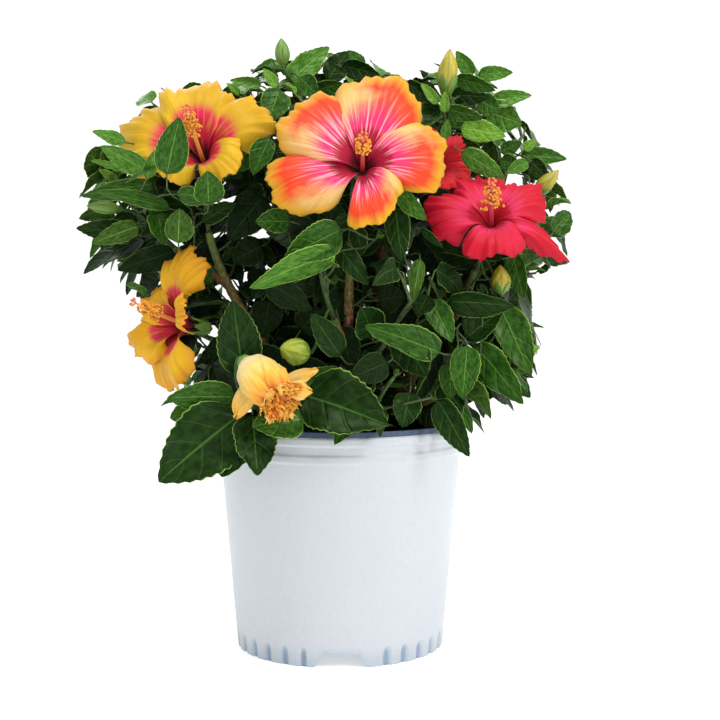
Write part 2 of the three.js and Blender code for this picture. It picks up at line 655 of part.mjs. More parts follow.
function firstTwig(mass, limb) {
  const last = limb.points.length - 1;
  const direction = limb.points[last].clone().sub(limb.points[last - 1]).normalize();
  const start = along(limb.points[last], direction, GAP);
  const middle = mass.middle;
  const beyond = middle.clone().sub(start).multiplyScalar(FIRST_TWIG.beyond);
  const end = along(middle.clone().add(beyond), UP, mass.half[2] * FIRST_TWIG.rise);
  const endDirection = outwards(middle).addScaledVector(UP, FIRST_TWIG.lift).normalize();
  const points = curvePoints(start, direction, end, endDirection, 3);
  const radii = tapered(3, TWIG_RADIUS, TWIG_TIP_RADIUS);
  return { points, radii, sides: TWIG_SIDES, firstDirection: direction };
}

function sideTwig(massIndex, mass, parent, index, attempt) {
  const keys = [massIndex, index, 77, attempt];
  const share = mix(SIDE_TWIG.lowest, SIDE_TWIG.highest, index / (SIDE_TWIGS - 1));
  const { point, direction } = placeOn(parent.points, share);
  const turn = GOLDEN_TURN * index + attempt * 1.3 + chance(...keys, 1);
  const lean = turnAround(direction, turn)
    .addScaledVector(direction, SIDE_TWIG.along)
    .addScaledVector(outwards(point), SIDE_TWIG.outwards)
    .addScaledVector(UP, SIDE_TWIG.up)
    .normalize();
  const shrink = mix(SIDE_TWIG.longest, SIDE_TWIG.shortest, attempt / (TWIG_TRIES - 1));
  const length = Math.min(...mass.half) * shrink;
  const end = along(along(point, lean, length), UP, length * SIDE_TWIG.rise);
  return { points: [point, end], radii: [SIDE_TWIG_RADIUS, SIDE_TWIG_RADIUS], sides: 3 };
}

function twigFits(mass, twig, limbs) {
  for (let share = 0.12; share <= 1; share += 0.11) {
    const { point } = placeOn(twig.points, Math.min(share, 1));
    if (!inSpace(mass, point, TWIG_STRETCH) || !clearOfPot(point)) {
      return false;
    }
    if (!limbs.every((limb) => clearOfLimb(limb, point, TWIG_LIMB_CLEARANCE))) {
      return false;
    }
    if (!clearOfBlooms(point)) {
      return false;
    }
  }
  return true;
}

function leafFits(mass, leaf, limbs, otherTwigs, neighbours) {
  const samples = bladeSamples(leaf);
  for (const point of samples) {
    if (!inSpace(mass, point) || !clearOfPot(point) || !clearOfBlooms(point)) {
      return false;
    }
  }
  if (!samples.every((point) => limbs.every((limb) => clearOfLimb(limb, point, LIMB_CLEARANCE)))) {
    return false;
  }
  if (!samples.every((point) => otherTwigs.every((twig) => clearOfLimb(twig, point, TWIG_CLEARANCE)))) {
    return false;
  }
  return neighbours.every((other) => other.every((theirs) =>
    samples.every((ours) => ours.distanceTo(theirs) > LEAF_SPACING)));
}

// Everything that one mass holds, as plain sizes: its twigs, leaves, blooms and buds.
function growMass(massIndex, limb, limbs) {
  const mass = MASSES[massIndex];
  const first = firstTwig(mass, limb);
  const twigs = [first];
  for (let i = 0; i < SIDE_TWIGS; i += 1) {
    for (let attempt = 0; attempt < TWIG_TRIES; attempt += 1) {
      const twig = sideTwig(massIndex, mass, first, i, attempt);
      if (twigFits(mass, twig, limbs)) {
        twigs.push(twig);
        break;
      }
    }
  }
  const leaves = KEY_LEAVES.filter((entry) => entry.mass === mass.name).map((entry) => keyLeaf(entry, twigs));
  const taken = leaves.map(bladeSamples);
  twigs.forEach((twig, twigIndex) => {
    const length = twig.points[0].distanceTo(twig.points.at(-1));
    const count = Math.max(Math.round(length / LEAF_STEP), 3);
    const otherTwigs = twigs.filter((other) => other !== twig);
    for (let i = 0; i < count; i += 1) {
      for (let attempt = 0; attempt < LEAF_TRIES; attempt += 1) {
        const leaf = leafOn(massIndex, twigIndex, twig, i, count, attempt);
        if (leafFits(mass, leaf, limbs, otherTwigs, taken)) {
          leaves.push(leaf);
          taken.push(bladeSamples(leaf));
          break;
        }
      }
    }
  });
  return { mass, twigs, leaves };
}

function massSolid(growth) {
  const { mass, twigs, leaves } = growth;
  const solids = twigs.map((twig) => toSolid(tube(twig.points, twig.radii, twig.sides, twig.firstDirection)));
  for (const leaf of leaves) {
    solids.push(leafSolid(leaf, LEAF_ROOT_RADIUS));
  }
  for (const bloom of BLOOMS.filter((entry) => entry.mass === mass.name)) {
    const { facing } = bloomFrame(bloom);
    const end = along(vector(bloom.eye), facing, -24);
    solids.push(toSolid(tube(stalkPoints(twigs[0], 0.3, end, facing), tapered(3, 1.4, 2.4), 3)));
    solids.push(...bloomSolids(bloom));
  }
  for (const bud of BUDS.filter((entry) => entry.mass === mass.name)) {
    const foot = vector(bud.foot);
    const direction = vector(bud.tip).sub(foot).normalize();
    const end = along(foot, direction, 3);
    solids.push(toSolid(tube(stalkPoints(twigs[0], 0.6, end, direction), tapered(3, 1.3, 1.5), 3)));
    solids.push(budSolid(bud));
  }
  if (FADED_BLOOM.mass === mass.name) {
    const direction = vector(FADED_BLOOM.tip).sub(vector(FADED_BLOOM.foot)).normalize();
    const end = along(vector(FADED_BLOOM.foot), direction, 3);
    solids.push(toSolid(tube(stalkPoints(twigs[0], 0.5, end, direction), tapered(3, 1.4, 2.2), 3)));
    solids.push(fadedBloomSolid());
  }
  return fuse(solids);
}

// The whole plant.

const plastic = new THREE.MeshStandardMaterial({ color: 0xe6ebee, roughness: 0.38, metalness: 0 });
const soil = new THREE.MeshStandardMaterial({ color: 0x2c211a, roughness: 0.95, metalness: 0 });
const bark = new THREE.MeshStandardMaterial({ color: 0x6b4a33, roughness: 0.8, metalness: 0 });
const foliage = new THREE.MeshStandardMaterial({ color: 0x2f5a2a, roughness: 0.35, metalness: 0 });

const shrub = new THREE.Group();

function addPiece(name, geometry, material) {
  const mesh = new THREE.Mesh(geometry, material);
  mesh.name = name;
  shrub.add(mesh);
}

addPiece('nursery_pot', toGeometry(potSolid()), plastic);
addPiece('potting_soil', closedGeometry(soilGeometry()), soil);

const stems = Object.fromEntries(Object.keys(STEMS).map((name) => [name, stemLimb(name)]));
const boughs = Object.fromEntries(MASSES.filter((mass) => mass.from < 1)
  .map((mass) => [mass.name, boughLimb(mass, stems[mass.stem])]));
const limbs = [...Object.values(stems), ...Object.values(boughs)];

for (const stem of Object.values(stems)) {
  addPiece(stem.name, closedGeometry(tube(stem.points, stem.radii, STEM_SIDES, UP)), bark);
}

for (const mass of MASSES.filter((entry) => entry.from < 1)) {
  const cutter = limbSolid(stems[mass.stem], STEM_SIDES, GAP);
  const bough = limbSolid(boughs[mass.name], BOUGH_SIDES).subtract(cutter);
  addPiece(boughs[mass.name].name, toGeometry(fuse([bough])), bark);
}

const growths = MASSES.map((mass, index) =>
  growMass(index, boughs[mass.name] || stems[mass.stem], limbs));

for (const growth of growths) {
  addPiece(`foliage_${growth.mass.name}`, toGeometry(massSolid(growth)), foliage);
}

export default shrub;
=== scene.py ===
# A tropical hibiscus shrub in flower, in its white plastic nursery pot.
# Sizes are in millimetres until a mesh is made. +Z is up, and the side with the large blooms faces -Y.
import math

import bpy
import numpy as np
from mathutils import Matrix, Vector


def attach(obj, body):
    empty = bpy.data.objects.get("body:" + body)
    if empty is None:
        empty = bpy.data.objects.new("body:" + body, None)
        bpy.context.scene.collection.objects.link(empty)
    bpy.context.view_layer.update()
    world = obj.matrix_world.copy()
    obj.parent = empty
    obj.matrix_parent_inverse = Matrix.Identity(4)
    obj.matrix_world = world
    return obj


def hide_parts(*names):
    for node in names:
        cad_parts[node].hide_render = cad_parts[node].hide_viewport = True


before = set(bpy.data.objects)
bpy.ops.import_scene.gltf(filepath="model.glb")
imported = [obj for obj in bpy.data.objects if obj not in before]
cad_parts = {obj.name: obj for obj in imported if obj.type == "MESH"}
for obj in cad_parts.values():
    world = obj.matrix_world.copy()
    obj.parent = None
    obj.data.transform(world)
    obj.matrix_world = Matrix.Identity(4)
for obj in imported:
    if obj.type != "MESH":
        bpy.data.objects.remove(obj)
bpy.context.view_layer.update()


# The studio: a pale matt floor that glows faintly, so that hardly a shadow falls on it, under a sky that is
# white low down and greyer overhead, with a key light above on the right, one overhead and one behind. The
# camera stands 1.4 m away at the height of the crown's middle, with a 73 mm lens, and looks down a little.
CAMERA_PLACE = (0.0, -1.43, 0.372)
CAMERA_PITCH = 3.75
CAMERA_YAW = 0.78
LENS = 73.35
SKY_STRENGTH = 1.1
FLOOR_RADIUS = 14.0


def linear(code):
    """An sRGB colour such as '#e6ebee' as linear red, green, blue and alpha."""
    parts = [int(code[i:i + 2], 16) / 255 for i in (1, 3, 5)]
    return tuple(c / 12.92 if c <= 0.04045 else ((c + 0.055) / 1.055) ** 2.4 for c in parts) + (1.0,)


def add_node(tree, kind, inputs=None, stops=None, **settings):
    """Adds a node: its settings, its inputs as values, nodes or sockets, and the stops of a ramp."""
    made = tree.nodes.new("ShaderNode" + kind)
    for name, value in settings.items():
        setattr(made, name, value)
    for name, value in (inputs or {}).items():
        if isinstance(value, (bpy.types.Node, bpy.types.NodeSocket)):
            link(value, made.inputs[name])
        else:
            made.inputs[name].default_value = value
    if stops:
        ramp = made.color_ramp.elements
        while len(ramp) < len(stops):
            ramp.new(0.5)
        for element, (place, shade) in zip(ramp, stops):
            element.position = place
            element.color = linear(shade)
    return made


def link(source, target):
    """Joins a socket, or a node's result, to an input. A colour mix has its result in its third output."""
    if isinstance(source, bpy.types.Node):
        source = source.outputs[2 if source.type == "MIX" else 0]
    target.id_data.links.new(source, target)


def full_turn(steps):
    """The angles of even steps round a full turn."""
    return np.linspace(0, 2 * math.pi, steps + 1)[:-1]


def new_material(name, **constants):
    """A material whose shader has these constants, with its tree and shader."""
    material = bpy.data.materials.new(name)
    material.use_nodes = True
    shader = material.node_tree.nodes["Principled BSDF"]
    for socket, value in constants.items():
        shader.inputs[socket.replace("_", " ")].default_value = value
    return material, material.node_tree, shader


def own_map(tree):
    """A piece's own map, and the place across and along it."""
    uv_map = add_node(tree, "UVMap", uv_map="OFBake")
    split = add_node(tree, "SeparateXYZ", {"Vector": uv_map})
    return uv_map, split.outputs["X"], split.outputs["Y"]


def cover(shader, colour, height=None, strength=0.0, depth=0.0):
    """Gives a shader its colour, and its relief from a height."""
    link(colour, shader.inputs["Base Color"])
    if height:
        relief = {"Strength": strength, "Distance": depth, "Height": height}
        link(add_node(shader.id_data, "Bump", relief), shader.inputs["Normal"])


def mottled(name, scale, stops, detail=2.0, stretch=None, relief=None, **constants):
    """A material whose colour runs along a ramp with noise. A stretch lays the noise on the piece's own map,
    drawn out by that much. A relief, a strength and a depth, raises the surface with it."""
    material, tree, shader = new_material(name, **constants)
    inputs = {"Scale": scale, "Detail": detail}
    if stretch:
        inputs["Vector"] = add_node(tree, "Mapping", {"Vector": own_map(tree)[0], "Scale": stretch})
    noise = add_node(tree, "TexNoise", inputs)
    colour = add_node(tree, "ValToRGB", {"Fac": noise}, stops)
    if relief:
        cover(shader, colour, noise, *relief)
    else:
        cover(shader, colour)
    return material


scene = bpy.context.scene
scene.view_settings.view_transform = "Standard"

camera_data = bpy.data.cameras.new("camera")
camera_data.lens = LENS
camera_data.sensor_width = 36.0
camera_data.clip_end = 100.0
camera = bpy.data.objects.new("camera", camera_data)
camera.location = CAMERA_PLACE
camera.rotation_euler = (math.radians(90 - CAMERA_PITCH), 0, math.radians(-CAMERA_YAW))
scene.collection.objects.link(camera)
scene.camera = camera

world = bpy.data.worlds.new("studio_sky")
world.use_nodes = True
sky = world.node_tree
backdrop = sky.nodes["Background"]
backdrop.inputs["Strength"].default_value = SKY_STRENGTH
direction = add_node(sky, "TexCoord").outputs["Generated"]
split = add_node(sky, "SeparateXYZ", {"Vector": direction})
rise = add_node(sky, "ValToRGB", {"Fac": split.outputs["Z"]}, [(0.3, "#ffffff"), (0.75, "#aeb2b6")])
link(rise, backdrop.inputs["Color"])
scene.world = world

for name, place, aim, size, power in [
    ("key_light", (1.5, -1.3, 1.7), (0, 0, 0.35), 0.8, 33),
    ("top_light", (-0.2, -0.5, 2.2), (0, 0, 0.4), 0.7, 26),
    ("rim_light", (-0.6, 1.7, 1.8), (0, 0, 0.4), 1.0, 12),
]:
    light_data = bpy.data.lights.new(name, "AREA")
    light_data.size = size
    light_data.energy = power
    light = bpy.data.objects.new(name, light_data)
    light.location = place
    light.rotation_euler = (Vector(aim) - Vector(place)).to_track_quat("-Z", "Y").to_euler()
    scene.collection.objects.link(light)

# The floor is painted board with a faint mottle, matt, and lit from within like a photographer's light table.
floor_paint = mottled(
    "floor_matt_white_paint", 3.0, [(0.3, "#f6f7f8"), (0.7, "#fbfbfc")], Roughness=0.85,
    Emission_Color=linear("#ffffff"), Emission_Strength=0.4,
)
floor_rim = [(FLOOR_RADIUS * math.cos(turn), FLOOR_RADIUS * math.sin(turn), 0) for turn in full_turn(96)]
floor_mesh = bpy.data.meshes.new("studio_floor")
floor_mesh.from_pydata(floor_rim, [], [tuple(range(96))])
floor_mesh.materials.append(floor_paint)
floor = bpy.data.objects.new("studio_floor", floor_mesh)
scene.collection.objects.link(floor)


# The pot: injection-moulded white polypropylene with a dark inner layer, thin-walled, with a rolled lip, a
# recessed band and a ridge below it, a drafted wall, and a fluted foot ring with three drain notches.
POT_HEIGHT = 215.0
FOOT_RADIUS = 100.4
WALL_TOP_RADIUS = 117.0
WALL_TOP_HEIGHT = 190.0
WALL = 1.8
LIP_RADIUS = 118.2
RIDGE_RADIUS = 118.0
BAND_RADIUS = 116.6
LINER_RISE = 5.0
FLOOR_HEIGHT = 13.0
FOOT_RING = 3.4
PAD_RADIUS = 22.0
FLUTES = 32
FLUTE_HEIGHT = 19.0
FLUTE_DEPTH = 3.0
FLUTE_HALF_WIDTH = 4.6
FLUTE_OFFSET = math.radians(-3)
NOTCHES = 3
NOTCH_HALF_WIDTH = 26.0
NOTCH_TOP_HALF_WIDTH = 15.5
NOTCH_TOP = 12.5
POT_SIDES = 480


def uv_grid(across, along):
    """The places on a map of a grid of points, rows by columns."""
    return np.stack(np.meshgrid(across, along), axis=-1)


class Pile:
    """Lofted shapes gathered into one mesh. Each is a stack of rings of points, closed round and capped."""

    def __init__(self):
        self.points, self.quads, self.uvs, self.finishes = [], [], [], []
        self.count = 0

    def loft(self, rings, finish=0, uv=None):
        """Adds a stack of rings (rows x sides x 3). finish is one slot number or one for each side. uv has a
        place for each point, or one column more, so that a pattern can run on round the shape."""
        rows, sides = rings.shape[:2]
        index = np.arange(rows * sides).reshape(rows, sides)
        beside = np.roll(index, -1, axis=1)
        body = np.stack([index[:-1], beside[:-1], beside[1:], index[1:]], axis=-1)
        body[:, sides // 2:] = np.roll(body[:, sides // 2:], -1, axis=2)
        body = body.reshape(-1, 4)
        left = np.arange(sides // 2 - 1)
        right = sides - 1 - left
        corners = [left, right, right - 1, left + 1]
        caps = [np.stack([row[corner] for corner in corners], axis=-1) for row in index[[0, -1]]]
        caps[1] = caps[1][:, ::-1]
        quads = np.concatenate([body, *caps])
        flat = rings.reshape(-1, 3)
        a, b, c, d = (flat[quads[:, k]] - flat[0] for k in range(4))
        volume = np.einsum("ij,ij->", a, np.cross(b, c)) + np.einsum("ij,ij->", a, np.cross(c, d))
        if uv is None:
            uv = uv_grid(np.linspace(0, 1, sides + 1), np.linspace(0, 1, rows))
        if uv.shape[1] == sides:
            uv = np.concatenate([uv, uv[:, :1]], axis=1)
        corners = np.stack([uv[:-1, :-1], uv[:-1, 1:], uv[1:, 1:], uv[1:, :-1]], axis=-2)
        corners[:, sides // 2:] = np.roll(corners[:, sides // 2:], -1, axis=2)
        corners = corners.reshape(-1, 4, 2)
        grid = uv[:, :-1].reshape(-1, 2)
        corners = np.concatenate([corners, *[grid[cap] for cap in caps]])
        if volume < 0:
            quads, corners = quads[:, ::-1], corners[:, ::-1]
        finishes = np.broadcast_to(np.asarray(finish), (rows - 1, sides)).ravel()
        caps_finish = np.full(len(quads) - len(finishes), finishes[0])
        self.points.append(flat)
        self.quads.append(quads + self.count)
        self.uvs.append(corners.reshape(-1, 2))
        self.finishes.append(np.concatenate([finishes, caps_finish]))
        self.count += len(flat)

    def piece(self, name, materials, slot, *replaced):
        """Makes the object in metres, rides it on the root, hides the nodes it stands for. The slot is not
        used.
        """
        mesh = bpy.data.meshes.new(name)
        quads = np.concatenate(self.quads)
        mesh.from_pydata((np.concatenate(self.points) / 1000).tolist(), [], quads.tolist())
        layer = mesh.uv_layers.new(name="OFBake")
        layer.uv.foreach_set("vector", np.concatenate(self.uvs).astype(np.float32).ravel())
        for material in materials:
            mesh.materials.append(material)
        mesh.polygons.foreach_set("material_index", np.concatenate(self.finishes).astype(np.int32))
        mesh.shade_smooth()
        made = bpy.data.objects.new(name, mesh)
        scene.collection.objects.link(made)
        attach(made, "root")
        if replaced:
            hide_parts(*replaced)
        return made


def rounded(profile, radius, steps=3):
    """A line of (radius, height) points with each inner corner replaced by a short arc."""
    line = [np.array(p, float) for p in profile]
    made = [line[0]]
    for before, corner, after in zip(line, line[1:], line[2:]):
        back, ahead = before - corner, after - corner
        reach = min(radius, np.linalg.norm(back) * 0.45, np.linalg.norm(ahead) * 0.45)
        start = corner + back / np.linalg.norm(back) * reach
        end = corner + ahead / np.linalg.norm(ahead) * reach
        for t in np.linspace(0, 1, steps + 1):
            made.append((1 - t) ** 2 * start + 2 * t * (1 - t) * corner + t * t * end)
    return np.array(made + [line[-1]])


def wall_radius(height):
    """The outside of the drafted wall."""
    return FOOT_RADIUS + (WALL_TOP_RADIUS - FOOT_RADIUS) * height / WALL_TOP_HEIGHT


inside = WALL_TOP_RADIUS - WALL
foot_inside = FOOT_RADIUS - FOOT_RING
outer_line = [
    (0.5, 0), (PAD_RADIUS, 0), (PAD_RADIUS + 2, FLOOR_HEIGHT), (foot_inside - 2, FLOOR_HEIGHT),
    (foot_inside, FLOOR_HEIGHT - 3), (foot_inside, 0), (FOOT_RADIUS, 0),
]
outer_line += [(wall_radius(h), h) for h in (2, 5, 8, 10.5, 13, 15, 17, 19, 22, 26)]
outer_line += [
    (WALL_TOP_RADIUS, WALL_TOP_HEIGHT), (RIDGE_RADIUS, 192), (RIDGE_RADIUS, 197.5), (BAND_RADIUS, 199.5),
    (BAND_RADIUS, 206.5), (LIP_RADIUS, 208), (LIP_RADIUS, 213.5), (LIP_RADIUS - 1.2, POT_HEIGHT),
    (inside + 1.4, POT_HEIGHT),
]
liner_top = POT_HEIGHT + LINER_RISE
inner_line = [
    (inside + 1.2, liner_top), (inside, liner_top + 0.6), (inside, WALL_TOP_HEIGHT),
    (wall_radius(15) - WALL, 15), (PAD_RADIUS + 1, 15), (PAD_RADIUS - 1, 2), (0.5, 2),
]
profile = rounded(outer_line + inner_line, 0.9)
turn = full_turn(POT_SIDES)
arc = FOOT_RADIUS * ((turn * NOTCHES / (2 * math.pi) + 0.5) % 1 - 0.5) * 2 * math.pi / NOTCHES
notch = np.clip((NOTCH_HALF_WIDTH - np.abs(arc)) / (NOTCH_HALF_WIDTH - NOTCH_TOP_HALF_WIDTH), 0, 1)
notch = NOTCH_TOP * (notch * notch * (3 - 2 * notch))
flute_arc = FOOT_RADIUS * (((turn - FLUTE_OFFSET) * FLUTES / (2 * math.pi)) % 1 - 0.5) * 2 * math.pi / FLUTES
rings = np.zeros((len(profile), POT_SIDES, 3))
for row, (radius, height) in enumerate(profile):
    radii = np.full(POT_SIDES, radius)
    heights = np.full(POT_SIDES, height)
    low_outside = height < FLUTE_HEIGHT and row < len(profile) / 2
    if low_outside and radius > foot_inside + 1:
        heights = notch + height * (FLUTE_HEIGHT - notch) / FLUTE_HEIGHT
        above = max((height - 10) / (FLUTE_HEIGHT - 10), 0)
        groove = np.clip(1 - (flute_arc / FLUTE_HALF_WIDTH) ** 2 - above ** 2, 0, 1)
        radii = radii - FLUTE_DEPTH * groove * (np.abs(arc) > NOTCH_HALF_WIDTH + 6)
    elif low_outside and radius > foot_inside - 2.5:
        heights = np.maximum(heights, notch)
    rings[row] = np.stack([radii * np.sin(turn), -radii * np.cos(turn), heights], axis=-1)

# White polypropylene: a low satin sheen from the mould, with a soft orange-peel. Low down and in the flutes
# the white is tinted a grey blue with soft edges, as painted shade in the grooves and along the foot.
line_length = np.concatenate([[0], np.cumsum(np.linalg.norm(np.diff(profile, axis=0), axis=1))])
foot_row = int(np.argmax((profile[:, 0] > FOOT_RADIUS - 0.1) & (profile[:, 1] < 1)))
foot_share = line_length[foot_row] / line_length[-1]
flute_share = FLUTE_HEIGHT / line_length[-1]
white_plastic, tree, shader = new_material("pot_white_polypropylene", Roughness=0.36, IOR=1.49)
_, round_pot, up_wall = own_map(tree)
shift = -FLUTE_OFFSET * FLUTES / (2 * math.pi)
flute = add_node(tree, "Math", {0: round_pot, 1: FLUTES, 2: shift}, operation="MULTIPLY_ADD")
phase = add_node(tree, "Math", {0: flute}, operation="FRACT")
aside = add_node(tree, "Math", {0: phase, 1: 0.5}, operation="SUBTRACT")
across = add_node(tree, "Math", {0: aside, 1: 5.2}, operation="MULTIPLY")
across = add_node(tree, "Math", {0: across, 1: 2.0}, operation="POWER")
flute_foot, flute_top = foot_share + 0.35 * flute_share, foot_share + flute_share
upward = add_node(tree, "MapRange", {"Value": up_wall, "From Min": flute_foot, "From Max": flute_top})
upward = add_node(tree, "Math", {0: upward, 1: 2.0}, operation="POWER")
beyond = add_node(tree, "Math", {0: across, 1: upward}, operation="ADD")
groove_painted_shade = add_node(
    tree, "MapRange", {"Value": beyond, "From Min": 1.0, "From Max": 0.1}, interpolation_type="SMOOTHSTEP"
)
third = add_node(tree, "Math", {0: round_pot, 1: NOTCHES, 2: 0.5}, operation="MULTIPLY_ADD")
third = add_node(tree, "Math", {0: third}, operation="FRACT")
third = add_node(tree, "Math", {0: third, 1: 0.5}, operation="SUBTRACT")
third = add_node(tree, "Math", {0: third}, operation="ABSOLUTE")
clear = add_node(tree, "MapRange", {"Value": third, "From Min": 0.14, "From Max": 0.16})
groove_painted_shade = add_node(tree, "Math", {0: groove_painted_shade, 1: clear}, operation="MULTIPLY")
foot_shade_top = foot_share + 1.1 * flute_share
low = add_node(
    tree, "MapRange", {"Value": up_wall, "From Min": foot_shade_top, "From Max": foot_share, "To Max": 0.32},
    interpolation_type="SMOOTHSTEP",
)
# Painted shade: the flute grooves and a band along the foot are mixed towards a grey blue.
thin = add_node(tree, "Math", {0: groove_painted_shade, 1: low}, operation="MAXIMUM")
peel = add_node(tree, "TexNoise", {"Scale": 55.0, "Detail": 3.0})
tint = add_node(tree, "ValToRGB", {"Fac": peel}, [(0.3, "#aeb2b6"), (0.7, "#b2b6ba")])
shade = add_node(tree, "Mix", {0: thin, 6: tint, 7: linear("#7d91a6")}, data_type="RGBA")
cover(shader, shade, peel, 0.05, 0.001)

# The inner layer is black-blue polyethylene that keeps light from the roots, duller than the outside. Its
# edge stands a little above the white lip.
dark_plastic = mottled(
    "pot_inner_dark_layer", 40.0, [(0.35, "#2a3a52"), (0.7, "#3a4b66")], 4.0, Roughness=0.42, IOR=1.5
)

pot = Pile()
pot_uv = uv_grid(np.linspace(0, 1, POT_SIDES + 1), line_length / line_length[-1])
lip_row = int(np.argmax(profile[:, 1] > POT_HEIGHT + 0.3)) - 1
inner_rows = np.arange(len(profile) - 1)[:, None] >= lip_row
pot.loft(rings, np.where(inner_rows, 1, 0), pot_uv)
pot.piece("nursery_pot_moulded", [white_plastic, dark_plastic], "pot_plastic", "nursery_pot")


# The potting mix: damp peat with chips of bark and a few white grains of perlite, filled to 25 mm below the
# lip and lying loosely, a little higher in the middle.
SOIL_LEVEL = 190.0
SOIL_EDGE = 184.0
SOIL_SINK = 2.4
FLAT_RADIUS = 84.0
SLOPE_WIDTH = 29.6
SOIL_SIDES = 96
CHIPS = 620
SEED = 20611


def chance(*keys):
    """A repeatable number from 0 to 1 for a list of whole numbers."""
    value = SEED
    for key in keys:
        value = ((value ^ (key + 1013)) * 0x9E3779B1) & 0xFFFFFFFF
        value ^= value >> 15
    return value / 4294967296


def lump(x, y):
    """A smooth uneven height for the soil, in millimetres."""
    return (
        1.3 * np.sin(x * 0.11 + 0.7) * np.cos(y * 0.09 - 0.4)
        + 0.8 * np.sin(x * 0.31 + y * 0.17) + 0.6 * np.sin(y * 0.43 - x * 0.23 + 1.9)
        + 0.35 * np.sin(x * 0.9 + 1.3) * np.sin(y * 1.1)
    )


def slope(radius):
    """How the mix falls towards the wall."""
    return (SOIL_EDGE - SOIL_LEVEL) * max(radius - FLAT_RADIUS, 0) / SLOPE_WIDTH


soil_turn = full_turn(SOIL_SIDES)
soil_radii = [*np.linspace(1, FLAT_RADIUS, 30), *np.linspace(88, FLAT_RADIUS + SLOPE_WIDTH, 9)]
soil_line = [(radius, SOIL_LEVEL + slope(radius)) for radius in soil_radii]
soil_line += [(110.5, 150), (99.5, 16), (23, 15.5), (1, 15.5)]
rings = np.zeros((len(soil_line), SOIL_SIDES, 3))
for row, (radius, height) in enumerate(soil_line):
    x, y = radius * np.sin(soil_turn), -radius * np.cos(soil_turn)
    top = lump(x, y) - SOIL_SINK if row < len(soil_radii) - 1 else 0
    rings[row] = np.stack([x, y, height + top + 0 * x], axis=-1)

# Peat is near black and dull when damp, and the bark chips are brown and a little lighter.
peat = mottled(
    "soil_damp_peat", 420.0, [(0.35, "#0d0a08"), (0.55, "#1a130e"), (0.72, "#2c2118")], 6.0,
    relief=(0.9, 0.002), Roughness=0.95,
)
chip_bark = mottled("soil_bark_chip", 500.0, [(0.35, "#15100c"), (0.7, "#2a2119")], 4.0, Roughness=0.88)
perlite = mottled("soil_perlite_grain", 900.0, [(0.35, "#a8a39a"), (0.6, "#d2cdc4")], Roughness=0.9)

soil = Pile()
soil.loft(rings)
chip_ring = np.array([[math.cos(turn), math.sin(turn)] for turn in full_turn(6)])
for i in range(CHIPS):
    reach = 108 * math.sqrt(chance(i, 1, 5))
    angle = 2 * math.pi * chance(i, 2, 5)
    x, y = reach * math.cos(angle), reach * math.sin(angle)
    grain = i % 9 == 0
    long, wide, tall = 1.6, 1.5, 1.3
    if not grain:
        long, wide, tall = 2.5 + 5 * chance(i, 3, 5), 1.6 + 2 * chance(i, 4, 5), 0.9 + 1.1 * chance(i, 6, 5)
    heading = 2 * math.pi * chance(i, 7, 5)
    tilt = 0.5 * (chance(i, 8, 5) - 0.5)
    first = np.array([math.cos(heading), math.sin(heading), math.sin(tilt)])
    second = np.array([-math.sin(heading), math.cos(heading), 0])
    middle = np.array([x, y, SOIL_LEVEL - SOIL_SINK + slope(reach) + float(lump(x, y)) + 0.2 * tall])
    stack = []
    for height, share in [(-0.6, 0.3), (-0.3, 0.9), (0.35, 1.0), (0.85, 0.45)]:
        ring = chip_ring[:, :1] * first * long * share + chip_ring[:, 1:2] * second * wide * share
        stack.append(middle + ring + np.array([0, 0, height * tall]))
    soil.loft(np.array(stack), 2 if grain else 1)
soil.piece("potting_mix_surface", [peat, chip_bark, perlite], "soil_mix", "potting_soil")


# The stems and boughs: woody and red-brown at the foot, with pale pores and the rings of old leaf scars,
# turning green and smooth towards the tips. Each stem flares where it leaves the soil.
GAP = 0.3
FLARE = 0.55
FLARE_HEIGHT = 14
STEM_RINGS = 6
BOUGH_RINGS = 3
BOUGH_REACH = 0.56
BOUGH_RADII = (4.0, 2.6)
STEM_STEPS = 90
BOUGH_STEPS = 28
UP = np.array([0.0, 0.0, 1.0])
# Each stem's foot on the soil, its top, and its radius at both ends.
STEMS = {
    "left": ((-38, -14), (-124, -36, 402), 7.4, 3.4),
    "centre": ((4, -34), (10, -66, 404), 7.0, 3.2),
    "right": ((42, -10), (128, -36, 366), 7.4, 3.4),
    "back_left": ((-28, 34), (-54, 26, 470), 8.0, 3.2),
    "back_right": ((30, 36), (46, 46, 462), 8.0, 3.2),
}
